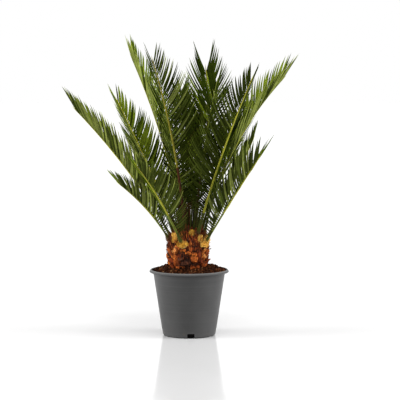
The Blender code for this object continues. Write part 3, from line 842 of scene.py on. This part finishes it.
RIB_LOOKS = (
    rib_skin("stem_olive", (0.0223, 0.0279, 0.0037), (0.0521, 0.0488, 0.013)),
    rib_skin("stem_red_brown", (0.033, 0.0115, 0.005), (0.064, 0.024, 0.009)),
    rib_skin("stem_dark_brown", (0.0221, 0.0111, 0.0059), (0.0488, 0.0208, 0.0091)),
    rib_skin("rib_leaf_green", (0.062, 0.076, 0.01), (0.115, 0.12, 0.019)),
    rib_skin("rib_yellow_green", (0.165, 0.164, 0.015), (0.255, 0.23, 0.03)),
    rib_skin("rib_ochre", (0.1, 0.088, 0.01), (0.16, 0.138, 0.02)),
)
OLIVE, RED_BROWN, DARK_BROWN, LEAF_GREEN, YELLOW_GREEN, OCHRE = range(6)
# Looks of the stem, of the rib's lower part and of the rest: the usual ones, and those of some fronds
USUAL_TONES = (OLIVE, LEAF_GREEN, YELLOW_GREEN)
RIB_TONES = {
    "frond_mid_left": (DARK_BROWN, LEAF_GREEN, YELLOW_GREEN),
    "frond_top_left": (DARK_BROWN, LEAF_GREEN, YELLOW_GREEN),
    "frond_front": (RED_BROWN, RED_BROWN, OCHRE), "frond_top": (RED_BROWN, DARK_BROWN, OCHRE),
    "frond_right": (OLIVE, YELLOW_GREEN, YELLOW_GREEN), "frond_back": (RED_BROWN, OCHRE, OCHRE),
    "frond_inner_right": (RED_BROWN, DARK_BROWN, LEAF_GREEN),
    "frond_inner_back": (DARK_BROWN, DARK_BROWN, LEAF_GREEN),
}

# %% Ribs: swept tubes
TUBE_SIDES, TUBE_RINGS = 10, 56
RIB_POINT, STEM_FOOT = 0.02, 0.014
STEM_ENDS, LOWER_RIB_ENDS = 0.15, 0.36
FLATTER_ABOVE = 0.72

outline = []
for i in range(TUBE_SIDES):
    angle = math.tau * (i + 0.5) / TUBE_SIDES
    outline.append((math.cos(angle), math.sin(angle) * (FLATTER_ABOVE if math.sin(angle) > 0 else 1.0)))
tubes = ([], [], [])
for name, rib in ribs.items():
    stem, lower, upper = RIB_TONES.get(name, USUAL_TONES)
    rings = [rib.section(step / TUBE_RINGS, outline) for step in range(TUBE_RINGS + 1)]
    rings.insert(0, [point - rib.direction(0.0) * STEM_FOOT for point in rings[0]])
    shares = [number / len(rings) for number in range(len(rings)) for _ in range(TUBE_SIDES)] + [0.0]
    looks = [stem if share < STEM_ENDS else lower if share < LOWER_RIB_ENDS else upper for share in shares]
    add_tube(tubes, rings, rib.point(1.0) + rib.direction(1.0) * RIB_POINT, looks)
dress_tubes("frond_ribs", tubes, RIB_LOOKS, list(FRONDS))

# %% Ribs: spines
SPINE_SPACING = 0.0068


def spike(piece, foot, way, side, width, length, look, thick=0.5):
    """A slim three-sided point standing on a foot."""
    third = way.cross(side).normalized()
    ring = [foot + side * (width / 2), foot - side * (width / 2), foot + third * (width * thick)]
    add_tube(piece, [ring], foot + way * length, look)


spines = ([], [], [])
draw = random.Random(21)
for name, rib in ribs.items():
    count = int(rib.length * BARE_SHARE / SPINE_SPACING)
    for i in range(count):
        share = BARE_SHARE * (0.3 + 0.7 * (i + 0.5) / count)
        along, across, up = rib.frame(share)
        for side in (1, -1):
            lift = math.radians(rib.lift + draw.uniform(-12, 12))
            way = (along * 0.45 + across * (side * math.cos(lift)) + up * math.sin(lift)).normalized()
            foot = rib.point(share) + across * (side * rib.widths(share)[0] * 0.42)
            length = 0.005 + 0.027 * smooth_step(0.2, 1.0, share / BARE_SHARE) + draw.uniform(0, 0.003)
            spike(spines, foot, way, along, 0.0027, length, RIB_TONES.get(name, USUAL_TONES)[0])
dress_tubes("stem_spines", spines, RIB_LOOKS, smooth=False)

# %% [markdown]
# ## Trunk
#
# The trunk of a young sago palm is a short barrel in an armour of old leaf bases: each frond that was cut
# off left a stub that points out and up, with a pale face where the knife went through. Rust-red fibres fill
# the gaps, and yellow wool sits where the living stems come out. The barrel is a spun profile with noise in
# it, and everything else stands on it as its own small shape.

# %% Trunk: barrel
SOIL_LINE, BARREL_FOOT = 0.1783, 0.1743
WIDEST_HEIGHT, SHOULDER_HEIGHT, CROWN_HEIGHT = 0.232, 0.25, 0.283
FOOT_REACH, WIDEST_REACH, SHOULDER_REACH = 0.046, 0.051, 0.05
CROWN_ROUNDING = 1.6


def barrel_reach(height):
    if height < WIDEST_HEIGHT:
        share = smooth_step(SOIL_LINE - 0.02, WIDEST_HEIGHT, height)
        return FOOT_REACH + (WIDEST_REACH - FOOT_REACH) * share
    share = smooth_step(WIDEST_HEIGHT, SHOULDER_HEIGHT, height)
    return WIDEST_REACH + (SHOULDER_REACH - WIDEST_REACH) * share


def crown_height(reach):
    share = min(1.0, reach / SHOULDER_REACH)
    return SHOULDER_HEIGHT + (CROWN_HEIGHT - SHOULDER_HEIGHT) * (1 - share ** CROWN_ROUNDING)


barrel_profile = [(0.0, BARREL_FOOT)]
barrel_profile += [(barrel_reach(z), z) for z in np.linspace(BARREL_FOOT, SHOULDER_HEIGHT, 24)]
barrel_profile += [(r, crown_height(r)) for r in np.linspace(SHOULDER_REACH, 0.0, 16)[1:]]
barrel = turned([(float(r), float(z)) for r, z in barrel_profile], 96, (TRUNK_X, TRUNK_Y))
for vertex in barrel.verts:
    out = Vector((vertex.co.x - TRUNK_X, vertex.co.y - TRUNK_Y, 0.0))
    if out.length > 0.001:
        vertex.co += out.normalized() * (lumps(vertex.co, 0.014) * 0.0016)
print("barrel:", len(barrel.faces), "faces")

# %% [markdown]
# Fibre runs up the trunk, so its finishes stretch their noise along Z. Six of them cover what the photo
# shows: rust and orange skin of the stubs, the pale cut faces, dark old tissue, and red and brown fibre
# between.

# %% Trunk: finishes
FINE_RUN = (420.0, 420.0, 40.0)


def bark_skin(name, dark, light, roughness=0.75, run=(230.0, 230.0, 36.0), relief=0.0014):
    finish = Finish(name, Metallic=0.0, Specular_IOR_Level=0.15)
    patches = finish.grain(95.0, 4.0, 0.65)
    fibres = finish.grain(1.0, 5.0, 0.65, run)
    pits = finish.grain(420.0, 3.0, 0.6)
    colour = finish.mix(finish.between(patches, 0.36, 0.62), dark, light)
    colour = finish.layer(colour, fibres, 0.4, 0.6, 0.65, shade(dark, 0.4))
    colour = finish.layer(colour, pits, 0.58, 0.72, 0.45, shade(light, 1.4))
    bumps = finish.relief(fibres * 0.6 + pits * 0.25 + patches * 0.3, relief, 0.9)
    rough = finish.between(fibres, 0.3, 0.7, roughness - 0.12, roughness + 0.08)
    return finish.paint(Base_Color=colour, Roughness=rough, Normal=bumps)


BARK_LOOKS = (
    bark_skin("bark_rust", (0.0757, 0.0152, 0.0041), (0.234, 0.0537, 0.0097)),
    bark_skin("bark_orange", (0.1583, 0.0358, 0.0062), (0.3579, 0.1032, 0.0179), 0.65),
    bark_skin("bark_pale_cut", (0.25, 0.09, 0.02), (0.49, 0.25, 0.085), 0.6, (330.0, 330.0, 60.0), 0.0012),
    bark_skin("bark_old_dark", (0.013, 0.0052, 0.0035), (0.0521, 0.0191, 0.0107)),
    bark_skin("bark_red_fibre", (0.0413, 0.0075, 0.0034), (0.1583, 0.0303, 0.0075), 0.8, FINE_RUN),
    bark_skin("bark_brown_fibre", (0.0138, 0.0055, 0.0034), (0.0654, 0.0186, 0.0069), 0.8, FINE_RUN),
)
RUST, ORANGE, PALE_CUT, OLD_DARK, RED_FIBRE, BROWN_FIBRE = range(6)
dress(object_of(barrel, "trunk_barrel", [BARK_LOOKS[BROWN_FIBRE]]), ["trunk"])

# %% [markdown]
# One stub starts as a short cone with closed ends. Three insets on its outer end make the rim, the hollow
# and the raised heart of the cut, bands in the sides let them bulge, and noise takes away the last straight
# line. New leaves start a golden angle apart, so the stubs do too, and no two stand straight above each
# other. The ones that face the camera take their places, sizes and tones from the photo, and the spiral
# fills the rest.

# %% Trunk: one stub
STUB_SIDES, STUB_DEPTH = 18, 0.024


def join_into(shape, made):
    """Adds a small shape to a larger one."""
    mesh = bpy.data.meshes.new("joined")
    made.to_mesh(mesh)
    made.free()
    shape.from_mesh(mesh)
    bpy.data.meshes.remove(mesh)


def banded_cone(sides, foot, end, cuts, look):
    """A closed cone one unit long, its sides cut into bands. Returns it with its upper end."""
    made = bmesh.new()
    bmesh.ops.create_cone(made, cap_ends=True, segments=sides, radius1=foot, radius2=end, depth=1.0)
    upright = [edge for edge in made.edges if abs(edge.verts[0].co.z - edge.verts[1].co.z) > 0.5]
    bmesh.ops.subdivide_edges(made, edges=upright, cuts=cuts, use_grid_fill=True)
    for face in made.faces:
        face.material_index = look
    return made, max(made.faces, key=lambda face: face.calc_center_median().z)


def rough(spot, luck, coarse, fine):
    """Moves a point by coarse and fine noise."""
    moved = spot + noise.noise_vector(spot / 0.0085 + Vector((luck, 0.0, 0.0))) * coarse
    return moved + noise.noise_vector(spot / 0.0028 + Vector((0.0, luck, 0.0))) * fine


def stub(shape, turn, height, width, tall, rise, skin, cut, luck, reach):
    """Adds one old leaf base to the shape."""
    made, end = banded_cone(STUB_SIDES, 0.64, 0.46, 3, skin)
    rim = bmesh.ops.inset_individual(made, faces=[end], thickness=0.07, depth=0.02)
    bmesh.ops.inset_individual(made, faces=[end], thickness=0.1, depth=-0.08)
    heart = bmesh.ops.inset_individual(made, faces=[end], thickness=0.16, depth=0.03)
    for face in rim["faces"] + heart["faces"]:
        face.material_index = cut
    bmesh.ops.poke(made, faces=[end])
    out, across = heading(turn, rise), heading(turn + 90.0, 0.0)
    up = out.cross(across)
    up = up if up.z > 0 else -up
    face_place = around(turn, barrel_reach(height) + 0.0045 + reach, height)
    skew = math.sin(luck * 3.0) * 0.3
    for vertex in made.verts:
        x, y, z = vertex.co
        y *= 0.8 if y < 0 else 1.15
        x = x * (1.12 - 0.42 * (z + 0.5)) * (1.0 - 0.45 * max(0.0, y)) + skew * y
        bulge = 1.0 + 0.14 * math.cos(math.pi * min(0.5, z))
        tilt = (0.25 * y + 0.9 * x * x) * (z + 0.5)
        spot = face_place + across * (x * width * bulge) + up * (y * tall * bulge)
        vertex.co = rough(spot + out * ((z - 0.5 - tilt) * STUB_DEPTH), luck, 0.003, 0.0022)
    join_into(shape, made)


# %% Trunk: the armour
# Turn, height, width, tallness, rise, skin and cut of the stubs that face the camera
FRONT_STUBS = (
    (230, 0.231, 0.021, 0.027, 4, ORANGE, PALE_CUT), (236, 0.205, 0.027, 0.018, 44, RUST, ORANGE),
    (212, 0.212, 0.02, 0.013, 60, RED_FIBRE, OLD_DARK), (251, 0.216, 0.03, 0.033, 4, OLD_DARK, BROWN_FIBRE),
    (265, 0.202, 0.036, 0.029, 8, OLD_DARK, BROWN_FIBRE), (257, 0.235, 0.018, 0.013, 34, ORANGE, RUST),
    (271, 0.228, 0.02, 0.013, 34, ORANGE, RUST), (288, 0.2225, 0.019, 0.013, 40, ORANGE, RUST),
    (290, 0.211, 0.025, 0.029, 10, RUST, ORANGE), (311, 0.206, 0.018, 0.032, 14, RED_FIBRE, RED_FIBRE),
    (326, 0.217, 0.018, 0.023, 22, ORANGE, PALE_CUT), (322, 0.234, 0.015, 0.014, 44, ORANGE, PALE_CUT),
    (302, 0.19, 0.017, 0.012, 48, RUST, RED_FIBRE), (328, 0.196, 0.018, 0.013, 55, RUST, OLD_DARK),
    (244, 0.19, 0.022, 0.013, 50, RUST, OLD_DARK), (218, 0.193, 0.02, 0.012, 55, RED_FIBRE, OLD_DARK),
    (244, 0.221, 0.013, 0.011, 56, RED_FIBRE, RUST), (302, 0.229, 0.015, 0.011, 60, RED_FIBRE, OLD_DARK),
    (208, 0.236, 0.015, 0.012, 60, RUST, RED_FIBRE), (340, 0.229, 0.015, 0.012, 55, RUST, ORANGE),
    (344, 0.205, 0.018, 0.013, 58, RED_FIBRE, RUST), (286, 0.189, 0.017, 0.012, 48, RUST, RED_FIBRE),
)
STUB_COUNT = 104
STUB_LOWEST, STUB_HIGHEST = 0.185, 0.248
GOLDEN_TURN = 137.508


def apart(turn, height, other_turn, other_height):
    """Distance on the barrel between two places."""
    round_way = math.radians((turn - other_turn + 180.0) % 360.0 - 180.0) * WIDEST_REACH
    return math.hypot(round_way, height - other_height)


armour = bmesh.new()
draw = random.Random(17)
for front in FRONT_STUBS:
    stub(armour, *front, draw.uniform(0, 99), draw.uniform(0.0, 0.0015))
filled = 0
for number in range(STUB_COUNT):
    share = (number + 0.5) / STUB_COUNT
    turn, height = GOLDEN_TURN * number % 360.0, STUB_LOWEST + (STUB_HIGHEST - STUB_LOWEST) * share
    width, tall = 0.019 * draw.uniform(0.8, 1.25), 0.0125 * draw.uniform(0.85, 1.25)
    rise, skin = draw.uniform(42, 66), draw.choice((RUST, RUST, ORANGE, RED_FIBRE, OLD_DARK))
    cut_look = draw.choice((ORANGE, RUST, PALE_CUT, OLD_DARK, RED_FIBRE))
    luck = draw.uniform(0, 99)
    if all(apart(turn, height, *front[:2]) > 0.006 + 0.36 * front[2] for front in FRONT_STUBS):
        stub(armour, turn, height, width, tall, rise, skin, cut_look, luck, draw.uniform(-0.0045, -0.0015))
        filled += 1
leaf_bases = object_of(armour, "trunk_leaf_bases", BARK_LOOKS)
leaf_bases.data.set_sharp_from_angle(angle=math.radians(55.0))
dress(leaf_bases, ["trunk"])
print("stubs:", len(FRONT_STUBS), "in front and", filled, "on the spiral")

# %% [markdown]
# Between the stems the crown is packed with pointed scales, leaves that stayed small to guard the bud. They
# are hundreds of narrow points, flat against the trunk at the shoulder and steeper towards the middle. Each
# section of a scale has four corners, so all of them together stay light.

# %% Trunk: one pointed scale
SCALE_RINGS = 4


def near_stem(place, room=0.007):
    """Whether a place is inside a stem's foot or too near it."""
    for rib in ribs.values():
        along = rib.direction(0.0)
        reach = (place - rib.points[0]).dot(along)
        if -0.03 < reach < 0.06 and (place - rib.points[0] - along * reach).length < room:
            return True
    return False


def scale(piece, foot, way, out, width, thick, length, curl, look):
    """A narrow point with a flat section that bends outwards as it rises."""
    side = way.cross(out).normalized()
    place, rings = foot.copy(), []
    for ring in range(SCALE_RINGS):
        part = ring / SCALE_RINGS
        bent = (way + out * (curl * part * part)).normalized()
        face = side.cross(bent).normalized()
        half = width / 2 * (0.75 + 0.5 * part) * (1 - part ** 2.2) ** 0.8
        corners = ((-1, 0), (0, thick / 2), (1, 0), (0, -thick / 2))
        rings.append([place + side * (x * half) + face * y for x, y in corners])
        place = place + bent * (length / SCALE_RINGS)
    add_tube(piece, rings, place, look)


# %% Trunk: scales of the crown
SCALE_COUNT, SCALE_LOWEST = 760, 0.224
ON_BARREL = 0.36

scales = ([], [], [])
draw = random.Random(29)
for number in range(SCALE_COUNT):
    share = (number + 0.5) / SCALE_COUNT
    turn = GOLDEN_TURN * number % 360.0
    if share < ON_BARREL:
        height = SCALE_LOWEST + (SHOULDER_HEIGHT - SCALE_LOWEST) * share / ON_BARREL
        foot = around(turn + draw.uniform(-4, 4), barrel_reach(height) + 0.0015, height)
        way = heading(turn, 86.0) + heading(turn + 90.0, 0.0) * draw.uniform(-0.22, 0.22)
        out = heading(turn, 0.0)
    else:
        reach = SHOULDER_REACH * (1 - (share - ON_BARREL) / (1 - ON_BARREL)) ** 0.75
        lean = 58.0 + 26.0 * (1 - reach / SHOULDER_REACH)
        foot = around(turn + draw.uniform(-4, 4), reach, crown_height(reach) - 0.002)
        way = heading(turn + draw.uniform(-14, 14), lean + draw.uniform(-8, 6))
        out = heading(turn, lean - 90.0)
    look = draw.choices((RUST, ORANGE, OLD_DARK, RED_FIBRE, BROWN_FIBRE), (0.24, 0.1, 0.12, 0.36, 0.18))[0]
    width, length, curl = draw.uniform(0.0028, 0.0052), draw.uniform(0.012, 0.023), draw.uniform(0.05, 0.45)
    if not near_stem(foot):
        scale(scales, foot, way.normalized(), out, width, 0.0012, length, curl, look)
dress_tubes("trunk_scales", scales, BARK_LOOKS, ["trunk"])

# %% [markdown]
# Old fibre frays out of the gaps between the stubs, mostly upwards. The same small shape, much narrower,
# does for it. A tuft of stiff points crowds the middle of the crown, where spears stand for leaves that are
# not yet open, and a few dark points stand out at the sides.

# %% Trunk: frayed fibre, points and spears
FIBRE_COUNT, POINT_COUNT, SPEAR_COUNT = 620, 110, 84
POINT_SPREAD, SPEAR_SPREAD = 0.036, 0.028
# Turn, height and length of the points that stand out at the sides
SIDE_POINTS = ((357, 0.2285, 0.012), (352, 0.237, 0.009), (196, 0.24, 0.008), (20, 0.23, 0.01))
STEM, DARK_STEM = len(BARK_LOOKS), len(BARK_LOOKS) + 1

fibres = ([], [], [])
draw = random.Random(31)
for number in range(FIBRE_COUNT):
    turn, height = GOLDEN_TURN * number % 360.0, 0.181 + 0.064 * draw.random()
    foot = around(turn, barrel_reach(height) + draw.uniform(0.001, 0.0045), height)
    way = heading(turn + draw.uniform(-30, 30), draw.uniform(52, 88))
    way = (way + heading(turn + 90.0, 0.0) * draw.uniform(-0.4, 0.4)).normalized()
    look = draw.choices((RUST, OLD_DARK, RED_FIBRE, BROWN_FIBRE), (0.25, 0.2, 0.35, 0.2))[0]
    length, curl, width = draw.uniform(0.006, 0.014), draw.uniform(-0.2, 0.15), draw.uniform(0.0008, 0.0018)
    scale(fibres, foot, way, heading(turn, 0.0), width, 0.0006, length, curl, look)
for number in range(POINT_COUNT):
    turn, reach = GOLDEN_TURN * number % 360.0, POINT_SPREAD * math.sqrt((number + 0.5) / POINT_COUNT)
    foot = around(turn, reach, crown_height(reach) - 0.004)
    way = heading(turn + draw.uniform(-25, 25), 88.0 - 20.0 * reach / POINT_SPREAD + draw.uniform(-5, 3))
    length = draw.uniform(0.022, 0.05) * (1.2 - 0.55 * reach / POINT_SPREAD)
    look = draw.choice((RED_FIBRE, BROWN_FIBRE, OLD_DARK, RED_FIBRE))
    if not near_stem(foot, 0.0055):
        scale(fibres, foot, way, heading(turn, -10.0), 0.0036, 0.0022, length, draw.uniform(0.0, 0.2), look)
for number in range(SPEAR_COUNT):
    turn, reach = GOLDEN_TURN * (number + 7) % 360.0, SPEAR_SPREAD * math.sqrt((number + 0.5) / SPEAR_COUNT)
    foot = around(turn, reach, crown_height(reach) - 0.004)
    way = heading(turn + draw.uniform(-25, 25), 88.0 - 9.0 * reach / SPEAR_SPREAD)
    look = draw.choice((BROWN_FIBRE, DARK_STEM, STEM, STEM, DARK_STEM))
    if not near_stem(foot, 0.005):
        scale(fibres, foot, way, heading(turn, -10.0), 0.0044, 0.0032, draw.uniform(0.05, 0.1), 0.04, look)
for turn, height, length in SIDE_POINTS:
    foot = around(turn, barrel_reach(height) + 0.001, height)
    scale(fibres, foot, heading(turn, 8.0), Vector((0, 0, 1)), 0.0034, 0.0022, length, 0.2, OLD_DARK)
fibre_looks = BARK_LOOKS + (RIB_LOOKS[OLIVE], RIB_LOOKS[DARK_BROWN])
dress_tubes("trunk_fibres", fibres, fibre_looks, ["trunk"])

# %% [markdown]
# Where a stem leaves the crown it stands in a collar of yellow wool. The collar is a short cone with bands,
# and its radius follows a curve that is fullest just below the stem's foot. Short hairs all over it keep its
# outline soft, since no fine noise in a finish can do that. Three looser tufts fill gaps that the photo
# shows.

# %% Trunk: wool finishes
def wool_skin(name, dark, light):
    finish = Finish(name, Metallic=0.0, Specular_IOR_Level=0.05, Sheen_Weight=0.1, Sheen_Roughness=0.6)
    tufts = finish.grain(1.0, 4.0, 0.65, (420.0, 420.0, 60.0))
    patches = finish.grain(150.0, 3.0, 0.6)
    colour = finish.mix(finish.between(tufts, 0.38, 0.6), dark, light)
    colour = finish.layer(colour, patches, 0.52, 0.72, 0.5, shade(dark, 0.6))
    rough_wool = finish.between(patches, 0.2, 0.8, 0.85, 0.95)
    return finish.paint(Base_Color=colour, Roughness=rough_wool, Normal=finish.relief(tufts, 0.0014, 0.9))


WOOL_LOOKS = (
    wool_skin("wool_yellow", (0.24, 0.093, 0.007), (0.52, 0.305, 0.025)),
    wool_skin("wool_brown", (0.0632, 0.0183, 0.0056), (0.1825, 0.0632, 0.0155)),
    wool_skin("wool_cream", (0.38, 0.18, 0.022), (0.68, 0.43, 0.08)),
)
YELLOW_WOOL, BROWN_WOOL, CREAM_WOOL = range(3)
# The collars that are not brown
COLLAR_WOOL = {
    "frond_front_left": YELLOW_WOOL, "frond_low_right": CREAM_WOOL, "frond_low_right_back": CREAM_WOOL,
    "frond_back_right": YELLOW_WOOL, "frond_back_left": YELLOW_WOOL,
}
# Turn, reach, height, radius, length and wool of the loose tufts
TUFTS = (
    (230, 0.053, 0.263, 0.0046, 0.022, CREAM_WOOL), (284, 0.043, 0.275, 0.003, 0.009, YELLOW_WOOL),
    (310, 0.051, 0.258, 0.0046, 0.018, CREAM_WOOL),
)

# %% Trunk: wool collars
COLLAR_SIDES, COLLAR_BANDS = 24, 8
COLLAR_LENGTH = 0.02


def collar(shape, directions, centre, swell, look, luck, length=COLLAR_LENGTH):
    """Adds a swollen sleeve round a stem's foot. Returns a start for the hairs of each of its points."""
    along, across, up = directions
    made, _ = banded_cone(COLLAR_SIDES, 1.0, 1.0, COLLAR_BANDS, look)
    for vertex in made.verts:
        x, y, z = vertex.co
        part = z + 0.5
        full = (0.45 + 0.55 * smooth_step(0.0, 0.3, part)) * smooth_step(1.05, 0.3, part)
        radius = 0.0034 + (swell - 0.0034) * full
        spot = centre + across * (x * radius * 1.35) + up * (y * radius * 0.68)
        vertex.co = rough(spot + along * ((part - 0.62) * length), luck, 0.0044 * (1.2 - part), 0.0018)
    starts = [(vertex.co.copy(), centre - along * 0.006, along, look) for vertex in made.verts]
    join_into(shape, made)
    return starts


wool, hair_starts = bmesh.new(), []
draw = random.Random(37)
for name, rib in ribs.items():
    look = COLLAR_WOOL.get(name, BROWN_WOOL)
    swell = 0.009 if look == BROWN_WOOL else 0.012
    hair_starts += collar(wool, rib.frame(0.0), rib.points[0], swell, look, draw.uniform(0, 99))
for turn, reach, height, swell, length, look in TUFTS:
    directions = (heading(turn, 78.0), heading(turn + 90.0, 0.0), heading(turn, -12.0))
    centre = around(turn, reach, height)
    hair_starts += collar(wool, directions, centre, swell, look, draw.uniform(0, 99), length)
dress(object_of(wool, "wool_collars", WOOL_LOOKS), ["trunk"])

# %% Trunk: wool hairs
HAIRS_PER_POINT = 6

hairs = ([], [], [])
draw = random.Random(41)
for spot, heart, along, look in hair_starts:
    for _ in range(HAIRS_PER_POINT):
        jitter = Vector((draw.uniform(-1, 1), draw.uniform(-1, 1), draw.uniform(-1, 1)))
        out = (spot - heart + jitter * 0.001).normalized()
        way = (out * 0.5 + along * 1.3 + jitter * 0.5).normalized()
        foot = spot + jitter * 0.0012 - out * 0.0006
        spike(hairs, foot, way, way.cross(out).normalized(), 0.0008, draw.uniform(0.0025, 0.0075), look, 0.8)
dress_tubes("wool_hairs", hairs, WOOL_LOOKS, smooth=False)

# %% [markdown]
# ## Floor
#
# A plain pale floor, wide enough that its far edge is lost in the white behind it. Its low gloss gives the
# pot the faint reflection of a studio table. Even a plain floor gets a slight mottle, or it looks like a
# hole in the picture.

# %% Floor
def floor_paint():
    finish = Finish("studio_floor", Metallic=0.0, Specular_IOR_Level=0.5)
    mottle = finish.grain(3.0, 3.0, 0.5)
    colour = finish.mix(mottle, (0.33,) * 3, (0.35,) * 3)
    return finish.paint(Base_Color=colour, Roughness=finish.between(mottle, 0.3, 0.7, 0.1, 0.14))


floor_shape = bmesh.new()
bmesh.ops.create_circle(floor_shape, cap_ends=True, segments=64, radius=60.0)
bmesh.ops.translate(floor_shape, vec=(0.0, 0.0, -0.0002), verts=floor_shape.verts)
floor = object_of(floor_shape, "studio_floor", [floor_paint()], smooth=False)
